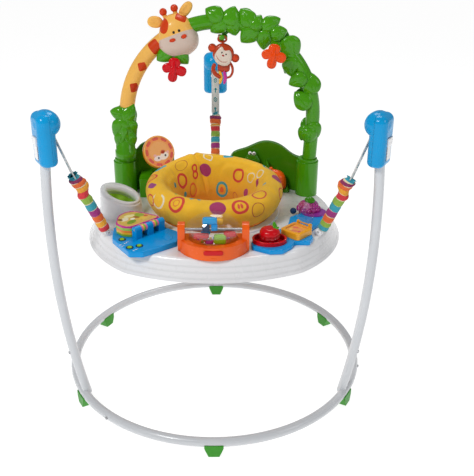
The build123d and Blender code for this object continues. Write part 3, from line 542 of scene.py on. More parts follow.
# ------------------------------------------------------------ frame and caps
def frame_finishes():
    tube, tree, shader = new_material("white powder coat", Coat_Weight=0.5, Coat_Roughness=0.12)
    dress(tree, shader, mottled(tree, tint("#d3d6da"), 5.0, 0.025),
          mapped(tree, noise_of(tree, 30.0), 0.28, 0.4), bumped(tree, noise_of(tree, 260.0), 0.00012))
    for side in POST_ANGLES:
        paint(tube, f"base_tube_{side}", f"upright_{side}")
        paint(STEEL, f"post_button_{side}", f"ring_button_{side}")
    paint(moulded("foot rubber green", "#3f9a2c", 0.45, 0.1), "floor_feet")
    paint(moulded("cap blue plastic", "#009ad8", 0.18, 0.2, 0.004), "cap_inner", "cap_outer")
    paint(WHITE, "strap_sliders", "tray_hooks")
    paint(STEEL, "tray_screws", "ball_axle", "book_pin")


frame_finishes()


# ----------------------------------------------- straps, springs and covers
STRAP_TOP = (441.0, 799.6)  # (distance from the centre, height)
STRAP_END = (396.5, 676.0)
SPRING_END = (325.0, 517.0)
WEBBING = (24.0, 2.4)
COVER_R = 14.4
STRIPES = ["#2aa0b4", "#8c1b58", "#e5641e", "#eda223", "#d92b38", "#8fb53c", "#2a9fb3", "#9c1e78", "#e5641e"]
STRIPE_LENGTHS = {"side": [10, 10, 12, 15, 17, 19, 20, 19, 18, 15, 14],
                  "rear": [10, 12, 16, 5, 16, 18, 18, 18, 18, 17, 16]}
COVER_STARTS = {"left": -6.0, "right": 4.0, "rear": 6.0}  # below the strap's end
STRIPE_ENDS = {"left": ["#efa824", "#d5263a"], "rear": ["#efa824", "#d5263a"],
               "right": ["#8fb53c", "#2a9fb3"]}


def hung(piece):
    """A strap or sock between a fixed cap and the bouncing tray; bakes its place into its points."""
    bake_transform(piece)


def make_strap(side, angle):
    top, end = (polar(angle, *place) for place in (STRAP_TOP, (STRAP_END[0] - 2, STRAP_END[1] - 5)))
    length = (top - end).length * 1000
    away = out(angle)
    wide, thick = WEBBING
    rows = 48
    upper = [(-wide / 2 + 0.8, thick / 2), (0, thick / 2 + 0.05), (wide / 2 - 0.8, thick / 2)]
    corners = [(-wide / 2, 0), *upper, (wide / 2, 0), *((x, -z) for x, z in reversed(upper))]
    loops = [[(x, (i / rows - 0.5) * length, z) for x, z in corners] for i in range(rows + 1)]
    marks = []
    for index, y in enumerate(range(-58, 62, 30)):  # arrows and dots by turns
        if index % 2:
            marks += [hoop(0, y, 4.2, 5.5, "#2c8b93", 3), disc(0, y, 1.4, 1.8, "#2c8b93")]
        else:
            marks += [disc(0, y + 2, 4.4, 5.5, "#2c8b93", 0, 1.1), disc(0, y - 4, 1.6, 4.5, "#2c8b93", 0, 6)]
        marks += [disc(edge * 8.5, y + 15, 1.3, 1.3, "#b8bcc0") for edge in (-1, 1)]
    across = away.cross(UP)
    web = woven(f"webbing {side}", "#dfdfdc", 0.8, marks, ((top + end) / 2, across, top - end))
    place = facing((top + end) / 2, (top - end).cross(across), top - end)
    strap = Sculpt().add(skin(loops), place, web)
    strap = strap.piece(f"webbing_{side}", slot="webbing", replaces=[f"strap_{side}"])
    hung(strap)


def make_spring(side, angle):
    top, end = polar(angle, *STRAP_END), polar(angle, *SPRING_END)
    length = (top - end).length * 1000
    turns, sides, radius, wire, hook = 44, 12, 7.6, 1.2, 12
    coil = []
    for k in range(sides * turns + 1):
        a = 2 * pi * k / sides
        coil.append((radius * cos(a), radius * sin(a), hook + (length - 2 * hook) * k / (sides * turns)))
    place = facing(end, top - end, out(angle))
    spring = Sculpt()
    for path in (coil, [(0, 0, 2), (0, 0, hook), (radius, 0, hook)],
                 [(radius, 0, length - hook), (0, 0, length - hook), (0, 0, length - 2)]):
        spring.add(rod(path, wire, 6), place, STEEL)
    return spring


def shared_cloth(name, colour):
    """One woven finish for all the covers."""
    return bpy.data.materials.get(name) or woven(name, colour)


def make_cover(side, angle, seed):
    """Gathered sock of sewn stripes, ruffled where it is tied at the top."""
    top, end = polar(angle, *STRAP_END), polar(angle, *SPRING_END)
    length = (top - end).length * 1000
    place = facing(top, end - top, out(angle))  # local Z runs down the sock
    stripes = STRIPES + STRIPE_ENDS[side]
    lengths = STRIPE_LENGTHS["rear" if side == "rear" else "side"]
    scale = (length - 2 - COVER_STARTS[side]) / sum(lengths)
    rows, sides = 12, 64
    loops, finishes, flat = [], [], []
    materials = [shared_cloth("sock piping", "#ead9b0")]
    down = COVER_STARTS[side]
    for index, (colour, part) in enumerate(zip(stripes, lengths)):
        materials.append(shared_cloth(f"sock {colour[1:]}", colour))
        for row in range(rows):
            t = row / rows
            z = down + part * scale * t
            bulge = sin(pi * t) ** 0.6
            loose = max(0.0, 1 - index / 4.5)  # the top stripes are bunched
            swung = -6.5 * exp(-((z - 34) / 15) ** 2) + 4.0 * exp(-((z - 57) / 9) ** 2)
            fat = 3.4 * exp(-((z - 26) / 20) ** 2)
            loop = []
            for a in angles(sides):
                ripple = noise.noise(Vector((2.2 * cos(a), 2.2 * sin(a), z / 9 + seed)))
                crease = noise.noise(Vector((5 * cos(a), 5 * sin(a), z / 30 + seed * 2)))
                r = COVER_R - 1.6 + bulge * (1.2 + 1.4 * loose) + fat
                r += ripple * (0.9 + 1.6 * loose) + crease * 0.8
                if index == 0:  # the tie pulls the ruffle in round the strap
                    r = 9.5 + 4.5 * abs(2 * t - 0.9) + 1.6 * cos(9 * a + seed) * (1 - t)
                tilt = 1.8 * cos(a + index * 1.9) * (0.4 + loose)
                squeeze = 0.62 if index == 0 and t < 0.6 else 1.0
                loop.append((r * cos(a) * squeeze, r * sin(a) + swung, z + tilt))
            loops.append(loop)
            finishes += [0 if row == rows - 1 else index + 1] * sides
        down += part * scale
    loops.append([(x, y, z + 1.0) for x, y, z in loops[-1]])
    sock = Sculpt().add(skin(loops, capped=False), place, materials[0])
    sock.materials, sock.finishes = materials, finishes
    around = 2 * pi * COVER_R / 1000
    for face in range(len(finishes)):
        row, k = divmod(face, sides)
        flat += [(around * (k + i) / sides, 0.001 * (row + j)) for i, j in ((0, 0), (1, 0), (1, 1), (0, 1))]
    made = sock.piece(f"spring_sock_{side}", slot="striped_cover", cloth_map=flat)
    thicken(made, 0.0009)
    return made, around, length / 1000


def thicken(piece, thickness):
    solid = piece.modifiers.new("thickness", "SOLIDIFY")
    solid.thickness = thickness
    solid.offset = -1
    apply_modifiers(piece)


def apply_modifiers(piece):
    graph = bpy.context.evaluated_depsgraph_get()
    mesh = bpy.data.meshes.new_from_object(piece.evaluated_get(graph), depsgraph=graph)
    piece.modifiers.clear()
    piece.data = mesh


def make_suspension():
    for seed, (side, angle) in enumerate(POST_ANGLES.items()):
        make_strap(side, angle)
        sock, around, length = make_cover(side, angle, seed * 7.0)
        hung(sock)
        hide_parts("spring_covers")
        spring = make_spring(side, angle)
        spring = spring.piece(f"coil_spring_{side}", slot="spring_steel", replaces=["bounce_springs"])
        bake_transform(spring)


make_suspension()


# ----------------------------------------------------------------------- tray
def tray_finishes():
    """White shell with the soft moulded steps low on its skirt, and a painted soft shadow under each."""
    material, tree, shader = new_material("tray white plastic", Coat_Weight=0.3, Coat_Roughness=0.1)
    height = add(tree, "SeparateXYZ", {0: place_of(tree)}).outputs["Z"]
    bottom, top = 0.45, 0.49
    step_shadow_ramp = add(tree, "ValToRGB", {0: ranged(tree, height, bottom, top)})
    step_shadow_ramp.color_ramp.elements[0].color = step_shadow_ramp.color_ramp.elements[1].color = (1, 1, 1, 1)
    steps = 0.0
    for ledge in (0.4535, 0.467, 0.4805):
        rise = ranged(tree, height, ledge, ledge + 0.004, interpolation_type="SMOOTHSTEP")
        steps = maths(tree, "ADD", rise, steps)
        # painted shadow: a grey band just under each ledge, white above and below it
        for step, value in ((-0.06, 1.0), (0.02, 0.88), (0.14, 1.0)):  # a soft shadow under it
            stop = step_shadow_ramp.color_ramp.elements.new((ledge - bottom) / (top - bottom) + step)
            stop.color = (value, value, value, 1)
    white_with_step_shadows = maths(tree, "MULTIPLY", mottled(tree, tint("#e9e9eb"), 4.0, 0.008), step_shadow_ramp.outputs[0],
                  kind="VectorMath")
    dress(tree, shader, white_with_step_shadows, mapped(tree, noise_of(tree, 40.0), 0.26, 0.31),
          bumped(tree, noise_of(tree, 380.0), 0.00002, bumped(tree, steps, 0.0013)))
    paint(material, "tray_upper")
    paint(moulded("tray underside", "#d2d2d4", 0.5, 0.0, wear=0.03), "tray_lower")
    paint(WHITE, "seat_ring", "mirror_pod")
    # Painted reflection: the mirror's green stands for the leaves it reflects. It is partly real metal
    # reflection, with an even painted green glow on the emission and lighter painted reflection streaks.
    mirror, tree, shader = new_material("play mirror painted reflection", Metallic=0.5, Emission_Color=tint("#7fae24"),
                                        Emission_Strength=0.3)
    painted_reflection_streaks = add(tree, "TexWave", {"Vector": place_of(tree), "Scale": 9.0, "Distortion": 2.0, "Detail": 1.0})
    dress(tree, shader, mixed(tree, painted_reflection_streaks.outputs["Fac"], tint("#6f9420"), tint("#b6d964")),
          mapped(tree, noise_of(tree, 25.0), 0.04, 0.12))
    paint(mirror, "mirror")
    lip = []
    rims = list(zip(oval(56.5, 53.0, 2.0, 72), oval(42.0, 31.0, 1.8, 72)))
    for share, lift in ((0, -2), (0, 2), (0.12, 4.5), (0.35, 6), (0.65, 6), (0.9, 3.5), (1, -1), (1, -9),
                        (0.9, -10)):
        middles = [outer * (1 - share) + (inner + Vector((4, -6))) * share for outer, inner in rims]
        lip.append([(x, y, lift) for x, y in middles])
    slope = facing(at(-258, -14, 556), (0.36, -0.12, 1), (0, 1, 0))
    Sculpt().add(skin(lip, capped=False), slope, WHITE).piece("pod_lip", "tray", "white_tray")


tray_finishes()


# ------------------------------------------------------------ seat, soft goods
PAD_PRINT_R = 155.0  # where the print keeps its true width
PAD_FLOOR_Z = 507.0
CREASE_ANGLES = (157.0, 168.0)  # at the crest, and at the foot of the inner wall
# (along the collar from the front, left +; over it from its crest, inward +)
PAD_MARKS = [
    hoop(89, -23, 17, 23, "#d8301e", 8), hoop(89, -22, 7, 10, "#e2701c", 3),
    disc(43, 12, 4, 11, "#3fa3a8", -40, 5), disc(57, 12, 4, 11, "#3fa3a8", 40, 5),
    disc(-9, -22, 19, 21, "#a82462"), hoop(-60, -24, 17, 18, "#d8342c", 8),
    disc(-63, -24, 3, 8, "#e04a30"), disc(-56, -24, 3, 8, "#e04a30"),
    hoop(-102, -47, 17, 20, "#b5401c", 3), hoop(-128, -4, 21, 15, "#d84a30", 5),
    hoop(-394, 116, 11, 11, "#cf4726", 2.5), disc(-279, 50, 14, 5, "#a8305c", 50, 4),
    disc(-206, 20, 7, 7, "#35a9bd"), hoop(-328, 50, 18, 14, "#e8e0cc", 4),
    hoop(-390, 57, 22, 17, "#d8341f", 8), hoop(-456, 104, 22, 19, "#3c9ba0", 9),
    disc(-456, 104, 9, 8, "#e8641e"), disc(452, 55, 21, 17, "#a82462"), hoop(408, 48, 8, 8, "#d8301e", 6),
    hoop(407, 64, 9, 9, "#d8301e", 6), hoop(363, 25, 25, 13, "#b5401c", 2.5),
    hoop(341, 64, 22, 18, "#d8341f", 9), hoop(388, 100, 16, 17, "#e4601a", 6),
    hoop(142, -36, 19, 19, "#f0e6cc", 6), disc(150, -24, 9, 12, "#f7be08", 20),
    disc(308, -10, 19, 9, "#35a9bd", 20, 4), disc(204, -17, 15, 9, "#9a3480", -25, 4),
    hoop(465, 17, 13, 9, "#efe6d2", 3.5, 20, 4), disc(-447, 4, 15, 8, "#35a9bd", -15, 4),
    disc(288, 62, 9, 8, "#3c9ba0"), disc(341, 102, 9, 8, "#3c9ba0"),
    hoop(-204, -44, 17, 15, "#d8442a", 5), hoop(173, -49, 16, 15, "#d8442a", 5),
    disc(115, 12, 4, 4, "#7da32c"), hoop(-297, 25, 15, 12, "#e8e0cc", 4),
    hoop(250, -20, 17, 19, "#dd3024", 6), hoop(250, -20, 9, 10, "#e9861c", 3),
    disc(-250, -18, 18, 18, "#ad2a68"), hoop(-320, -22, 18, 16, "#3c9ba0", 8),
    hoop(-385, -24, 17, 19, "#dd3024", 6), disc(380, -28, 19, 18, "#ad2a68"),
    hoop(438, -34, 18, 17, "#b5401c", 2.5), hoop(0, 68, 18, 16, "#3c9ba0", 8),
    hoop(95, 70, 17, 18, "#dd3f2c", 6), disc(-95, 72, 18, 16, "#ad2a68"),
    hoop(190, 66, 17, 15, "#b5401c", 2.5), hoop(-190, 74, 18, 16, "#dd3f2c", 5),
    disc(48, 92, 12, 5, "#35a9bd", 30, 4), disc(-150, 40, 12, 5, "#35a9bd", -35, 4),
    disc(245, 90, 14, 13, "#ea7216"), disc(-330, 96, 15, 14, "#ad2a68"),
]


CORNERS = ((0, 0), (0, 1), (1, 1), (1, 0))  # of a face, across and along


def from_crease(angle, share=0.0):
    """Degrees round from the folded crease; share is how far down the inner wall."""
    crease = CREASE_ANGLES[0] + (CREASE_ANGLES[1] - CREASE_ANGLES[0]) * share
    return (angle - crease + 180) % 360 - 180


def pad_top(angle):
    """Height of the collar's crest: low in front, high behind, peaked at the crease."""
    return 602 - 7 * cos(radians(angle)) + 16 * exp(-abs(from_crease(angle)) / 24)


def pad_section(angle, steps=56):
    """Closed loop (distance, height) from the foot, up the outer wall, over and
    down the inner one. The crest is half way along."""
    deep = pad_top(angle) - PAD_FLOOR_Z
    wall = [(150, 0), (159, 5 / deep), (173, 0.22), (184, 0.48), (186, 0.69), (177, 0.89), (156, 1),
            (138, 0.96), (125, 0.76), (114, 0.46), (105, 0.08), (113, -28 / deep)]
    return [(p.x, p.y) for p in smooth([(r, PAD_FLOOR_Z + deep * share, 0) for r, share in wall], steps)]


def swell(piece, held, limit):
    """Fills a cloth skin with air, then caps how far any point has shift."""
    group = piece.vertex_groups.new(name="held")
    group.add(held, 1.0, "REPLACE")
    cloth = piece.modifiers.new("cloth", "CLOTH")
    settings = dict(quality=6, mass=0.2, tension_stiffness=12, compression_stiffness=12,
                    bending_stiffness=0.15, shrink_min=-0.05, use_pressure=True, uniform_pressure_force=4.0,
                    vertex_group_mass="held")
    for key, value in settings.items():
        setattr(cloth.settings, key, value)
    cloth.settings.effector_weights.gravity = 0.0
    start = np.array([v.co for v in piece.data.vertices])
    scene = bpy.context.scene
    for step in range(1, 21):
        scene.frame_set(step)
    settled = piece.evaluated_get(bpy.context.evaluated_depsgraph_get()).data
    shift = np.array([v.co for v in settled.vertices]) - start
    length = np.linalg.norm(shift, axis=1, keepdims=True)
    shift *= np.minimum(1.0, limit / np.maximum(length, 1e-9))
    piece.modifiers.remove(cloth)
    piece.vertex_groups.remove(group)
    piece.data.vertices.foreach_set("co", (start + shift).astype(np.float32).ravel())
    scene.frame_set(1)


def make_pad():
    steps, section = 220, 56
    # painted shade: the orange towards the foot of the inner wall stands for the shade deep in the collar's
    # hollow
    fabric = woven("seat pad print", "#f7be08", 1.2, PAD_MARKS, shade="#ea9208", painted_shade_span=(60, 125))
    flat = []
    turns = [360 * i / steps - 180 for i in range(steps)]
    loops = [[polar(angle, r, z) * 1000 for r, z in pad_section(angle, section)] for angle in turns]
    points, faces = skin(loops, capped=False)
    last = (steps - 1) * section
    faces += [(last + k, last + (k + 1) % section, (k + 1) % section, k) for k in range(section)]
    pad = Sculpt().add((points, faces), Matrix.Scale(0.001, 4), fabric)
    around = 2 * pi * PAD_PRINT_R / steps
    over = [0.0]
    for (r0, z0), (r1, z1) in zip(pad_section(90, section), pad_section(90, section)[1:]):
        over.append(over[-1] + hypot(r1 - r0, z1 - z0))
    over.append(over[-1] + 6)
    over = [length - over[section // 2] for length in over]
    for i in range(steps):
        for k in range(section):
            flat += [(around * (i - steps / 2 + x) / 1000, over[k + y] / 1000) for x, y in CORNERS]
    made = pad.piece("seat_collar", slot="seat_fabric", replaces=["seat_pad"], cloth_map=flat)
    held = [i * section + k for i in range(steps) for k in range(section) if loops[i][k][2] < PAD_FLOOR_Z + 6]
    swell(made, held, 0.003)
    for vertex in made.data.vertices:  # sewn channels and the folded crease
        place = vertex.co * 1000
        angle = degrees(atan2(-place.x, -(place.y - CENTRE_Y)))
        reach = hypot(place.x, place.y - CENTRE_Y)
        share = (pad_top(angle) - place.z) / (pad_top(angle) - PAD_FLOOR_Z) if reach < 150 else 0.0
        turned = from_crease(angle, share)
        if place.z > PAD_FLOOR_Z + 10:
            fold = 7.0 * exp(-(turned / 1.9) ** 2) - 2.5 * exp(-((turned - 4.5) / 3.0) ** 2)
            for seam in (-118, -62, 0, 62, 118):
                fold += 0.9 * exp(-((angle - seam) / 1.6) ** 2)
            inward = Vector((place.x, place.y - CENTRE_Y, 0)).normalized() * (1 if reach < 152 else -1)
            wrinkle = 1.3 * noise.noise(Vector((angle / 5, place.z / 38, reach / 40)))
            sunk = UP * fold * 0.6 * (place.z > pad_top(angle) - 25)
            vertex.co += (inward * (fold + wrinkle) - sunk) / 1000
    smoother = made.modifiers.new("smooth", "SUBSURF")
    smoother.levels = smoother.render_levels = 1
    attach(made, "seat")


SLING = [(157, 504), (153, 466), (147, 430), (134, 396), (117, 362), (96, 343), (66, 331), (34, 327)]
LEG_START = Vector((0, 0, 396))
LEG_HOLE_R = 52.0


def make_sling():
    """Cloth bucket with two bound leg holes."""
    steps = 128
    profile = smooth([(r, z, 0) for r, z in SLING], 40, closed=False)
    fabric = woven("sling print", "#efa310", 1.2,
                   [m for x in range(-420, 460, 110) for m in
                    (hoop(x, 60, 15, 18, "#dd4a20", 4), disc(x + 55, 95, 14, 14, "#ad2c68"),
                     hoop(x + 40, 30, 12, 14, "#3c9ba0", 4),
                     hoop(x - 10, 130, 15, 17, "#b5401c", 2.5))], shade="#e8820e")
    points, faces, flat, over = [], [], [], [0.0]
    for a, b in zip(profile, profile[1:]):
        over.append(over[-1] + (b - a).length)
    for j, p in enumerate(profile):
        for a in angles(steps):
            r = p.x - 2.5 + cos(a * 22 + sin(a * 3) * 2) * (j / len(profile)) * (p.x / 120)
            points.append(Vector((r * cos(a), r * sin(a), p.y)))
    points.append(Vector((0, 0, 326)))
    legs = [Vector((side * 0.72, -0.5, -0.48)).normalized() for side in (-1, 1)]

    def leg_gap(p):
        """How far outside the nearest leg hole a point is, and which one."""
        gaps = []
        for way in legs:
            along = (p - LEG_START).dot(way)
            gaps.append(((p - LEG_START - way * along).length - LEG_HOLE_R if along > 0 else 99.0, way))
        return min(gaps, key=lambda g: g[0])

    def quad_uv(i, j):
        return [(0.9 * (i + x) / steps, over[min(j + y, len(over) - 1)] / 1000) for x, y in CORNERS]

    rows = len(profile)
    for j in range(rows - 1):
        for i in range(steps):
            n = (i + 1) % steps
            face = [j * steps + i, (j + 1) * steps + i, (j + 1) * steps + n, j * steps + n]
            if all(leg_gap(points[k])[0] > 0 for k in face):
                faces.append(face)
                flat += quad_uv(i, j)
    for i in range(steps):  # the middle of the floor
        faces.append([(rows - 1) * steps + i, rows * steps, (rows - 1) * steps + (i + 1) % steps])
        flat += quad_uv(i, rows - 2)[:3]
    used = sorted({k for face in faces for k in face})
    edges = {}
    for face in faces:
        for a, b in zip(face, face[1:] + face[:1]):
            edges[frozenset((a, b))] = edges.get(frozenset((a, b)), 0) + 1
    open_points = {k for edge, count in edges.items() if count == 1 for k in edge if k >= steps}
    for k in open_points:  # draw the ragged edge onto the hole's round
        gap, way = leg_gap(points[k])
        along = (points[k] - LEG_START).dot(way)
        radial = points[k] - LEG_START - way * along
        points[k] = LEG_START + way * along + radial.normalized() * (LEG_HOLE_R + 1)
    renumber = {k: i for i, k in enumerate(used)}
    shape = ([points[k] for k in used], [[renumber[k] for k in face] for face in faces])
    place = level(0, 0, 0)
    sling = Sculpt().add(shape, place, fabric)
    sling = sling.piece("seat_bucket", slot="sling_fabric", replaces=["seat_sling"], cloth_map=flat)
    thicken(sling, 0.0012)
    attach(sling, "seat")
    binding = woven("leg binding", "#e4701a")
    bound = Sculpt()
    for way in legs:
        side = way.cross(UP).normalized()
        over_side = way.cross(side)
        ring = sorted((points[k] for k in open_points if leg_gap(points[k])[1] is way),
                      key=lambda p: atan2((p - LEG_START).dot(over_side), (p - LEG_START).dot(side)))
        rim = [(ring[i - 1] + ring[i] + ring[(i + 1) % len(ring)]) / 3 for i in range(len(ring))]
        bound.add(rod(rim, 2.6, 8, closed=True), place, binding)
    bound.piece("leg_bindings", "seat", "sling_fabric")
    return sling


make_pad()
sling = make_sling()


# ----------------------------------------------------------------- toy arch
ARCH_Y = 134.0
HEAD = (-101.0, 957.0)
HEAD_TILT = 16.0
# middle (across, height), way it points (degrees, 0 right, 90 up), length, width, in front of the tube
LEAVES = [
    (-1, 1016, 150, 54, 50, 16), (47, 1012, 70, 54, 50, 16), (10, 984, 220, 54, 46, 13),
    (52, 982, 285, 52, 48, 13), (87, 1008, 128, 58, 48, 17), (93, 962, 225, 62, 52, 15),
    (115, 996, 60, 46, 38, 20), (153, 993, 25, 58, 44, 16), (135, 949, 268, 60, 46, 14),
    (175, 969, 15, 48, 42, 19), (209, 928, -60, 70, 60, 16), (210, 876, -84, 60, 48, 14),
    (229, 840, 211, 56, 46, 15), (269, 833, 105, 62, 50, 13), (244, 785, 134, 62, 52, 15),
    (256, 688, 250, 54, 42, 13), (285, 697, -66, 56, 42, 14), (268, 680, -92, 54, 46, 18),
]
BACK_LEAVES = [
    (0, 1009, 120, 54, 48), (44, 1006, 60, 54, 48), (30, 980, 260, 50, 44), (90, 1001, -30, 60, 48),
    (96, 962, 220, 56, 46), (138, 981, 20, 54, 42), (148, 951, 250, 52, 42), (186, 951, -30, 56, 46),
    (203, 911, -70, 56, 46), (208, 874, 235, 50, 42), (235, 848, -60, 52, 42), (258, 818, -90, 54, 44),
    (246, 785, 240, 54, 46), (268, 698, -90, 60, 44),
]


def add_leaf(bunch, x, z, way, length, width, lift, back=False):
    """A leaf whose middle is at (x, z), lying over the tube in front or behind."""
    a = radians(way)
    y = ARCH_Y + (lift + 5 if back else -lift - 5)
    root = at(x - cos(a) * length / 2, y, z - sin(a) * length / 2)
    tipped = Vector((cos(a), 0.14 * (-1 if back else 1), sin(a)))
    forward = Vector((0, 1 if back else -1, 0))
    forward = (forward - tipped * forward.dot(tipped) / tipped.length_squared).normalized()
    bunch.add(leaf(length, width, 11, 7), facing(root, forward, tipped), GREEN)


def tier(bunch, x, z, radius, count, length, width, phase=0.0):
    """A ring of leaves hanging round an upright tube."""
    for a in angles(count, phase):
        away = Vector((sin(a), -cos(a), 0))
        root = at(x + away.x * (radius - 5), ARCH_Y + away.y * (radius - 5), z + length / 2)
        hang = Vector((away.x * 0.16, away.y * 0.16, -1))
        forward = (away - hang * away.dot(hang) / hang.length_squared).normalized()
        bunch.add(leaf(length, width, 8, 6), facing(root, forward, hang), GREEN)


def make_arch():
    leaves = Sculpt()
    for row in LEAVES:
        add_leaf(leaves, *row)
    for x, z, way, length, width in BACK_LEAVES:
        add_leaf(leaves, x, z, way, length, width, 13, back=True)
    tier(leaves, -249, 732, 21, 5, 66, 46)
    tier(leaves, -252, 690, 23, 5, 70, 48, 0.5)
    for row in ((-239, 750, 62, 56, 44, 17), (-272, 746, 168, 46, 40, 15), (-266, 700, 236, 66, 56, 19),
                (-236, 704, 285, 50, 42, 15), (-266, 668, 244, 52, 44, 17), (-240, 668, 282, 50, 42, 17)):
        add_leaf(leaves, *row)
    leaves.add(lathe([(21, 606), (30.5, 606), (30.5, 634), (27.5, 637), (27.5, 668), (22, 672)], 40),
               level(-256, ARCH_Y, 0), GREEN)
    leaves.piece("leaf_clusters", "tray", "green_plastic", ["arch_leaves"])
    paint(GREEN, "arch_sockets", "leafy_tube", "toy_pegs")
    patches = [disc(-159, 930, 15, 18, "#c93a06", 38, 6), disc(-196, 877, 11, 12, "#c93a06", 12, 6),
               disc(-221, 819, 10.5, 13, "#bf3204", 6, 6)]
    paint(moulded("giraffe neck plastic", "#efb658", 0.34, 0.15, marks=patches,
                  flat=(at(0, ARCH_Y, 0), (1, 0, 0), UP)), "giraffe_neck")


def make_giraffe():
    tilt = radians(HEAD_TILT)
    across, up = Vector((cos(tilt), 0, sin(tilt))), Vector((-sin(tilt), 0, cos(tilt)))
    centre = at(HEAD[0], ARCH_Y, HEAD[1])
    place = facing(centre, FRONT, up)
    coat = [disc(0, -37, 68, 49, "#cdb8aa", 5, 3.4), disc(-23, 37, 12.5, 19, "#cc3c08", -28, 2.4),
            disc(26, 44, 15, 6.5, "#cc3c08", -36, 5), disc(56, 24, 6, 10, "#dc6a20", 20)]
    skin_finish = moulded("giraffe head plastic", "#efb658", 0.34, 0.1, marks=coat, flat=(centre, across, up))
    front = [(6, 58), (26, 53), (42, 36), (51, 10), (56, -16), (48, -40), (26, -54), (0, -58), (-26, -54),
             (-46, -39), (-54, -16), (-50, 5), (-42, 24), (-29, 44), (-12, 56)]
    points, faces = pillow(smooth(front, 64), 43, 27, 2.6, 22)
    muzzle = [(x, y, z + 4 * exp(-((y + 24) / 20) ** 2) * max(0.0, z / 43)) for x, y, z in points]
    head = Sculpt().add((muzzle, faces), place, skin_finish)
    for x, y in ((-18, 67), (13.5, 68.5)):
        head.add(rod([(x * 0.8, y - 26, -14), (x, y - 6, -14)], [7, 6]), place, YELLOW_TOY)
        head.add(ball(10.4), moved(place, x, y, -14), RUST)
    for x, y, turn, a, b in ((-47, 48, 160, 21, 16), (42, 57, 37, 24, 14)):
        ear = dished(pillow(oval(a, b, 2.2), 8, 6), 4, a * 0.6, b * 0.5)
        head.add(ear, moved(place, x, y, -15, turn), YELLOW_TOY)
    for x, y, a, b, turn, finish in ((-1, 16.5, 3.4, 3.8, 0, BLACK), (14, 17, 3.4, 3.8, 0, BLACK),
                                     (-9.6, -2, 9, 5, 0, RUST), (21.5, -0.8, 8.4, 5.5, 14, RUST)):
        depth = 43 * (1 - (hypot(x, y + 2) / 58) ** 2.6) ** (1 / 2.6)
        depth += 4 * exp(-((y + 26) / 22) ** 2)
        head.add(ball(a, b, 2.2), moved(place, x, y, depth - 0.4, turn), finish)
    head.piece("giraffe_head", "tray", "giraffe_yellow", ["giraffe_face", "giraffe_back"])
    collar = Sculpt()
    for x, z, way, length, width in ((-134, 908, 215, 58, 44), (-87, 903, -50, 54, 42)):
        add_leaf(collar, x, z, way, length, width, 20)
    collar.piece("chin_leaves", "tray", "green_plastic")


PEGS = {"monkey": (18.0, 118.0, 955.0), "butterfly_red": (-106.0, 118.0, 886.0),
        "butterfly_orange": (161.0, 96.0, 936.0)}
LOOP_R = 6.2
LOOP_WIRE = 2.0
PEG_R = 3.0


def hung_place(name):
    """Where a toy's loop ends below its peg, and the loop's own place."""
    x, y, z = PEGS[name]
    drop = LOOP_R - LOOP_WIRE - PEG_R - 0.5
    return facing(at(x, y, z - drop - LOOP_R)), facing(at(x, y, z - drop))


def make_butterfly(name, body, finish, rise):
    place, loop = hung_place(name)
    toy = Sculpt().add(rod(circle(LOOP_R), LOOP_WIRE, 10, closed=True), loop, finish)
    for x, y, a, b, turn in ((-1, rise + 1, 16, 14, -8), (-20, rise - 12, 15, 13, 22),
                             (16, rise - 21, 15, 14, -20), (-7, rise - 36, 13, 15, -10)):
        lobe = dished(pillow(oval(a, b, 2.3), 5.6, 3.4), 1.8, a / 2, b / 2)
        toy.add(lobe, moved(place, x, y + 2, 20, turn), finish)
    spine = [(0, rise + 8, 22), (-2, rise - 17, 24.5), (-7, rise - 44, 22)]
    toy.add(rod(spine, [3.4, 5, 3.4], 14), place, finish)
    toy.add(pillow(oval(15, 13, 2.6), 6, 4), moved(place, -2, rise - 17, 20), finish)
    toy.add(ball(9, 8, 12), moved(place, -1, -15, 10), finish)
    toy.add(rod([(0, 0, 0), (0, -12, 1)], 2.6), place, finish)
    toy.piece(name + "_toy", body, "red_plastic" if name.endswith("red") else "orange_plastic", [name])


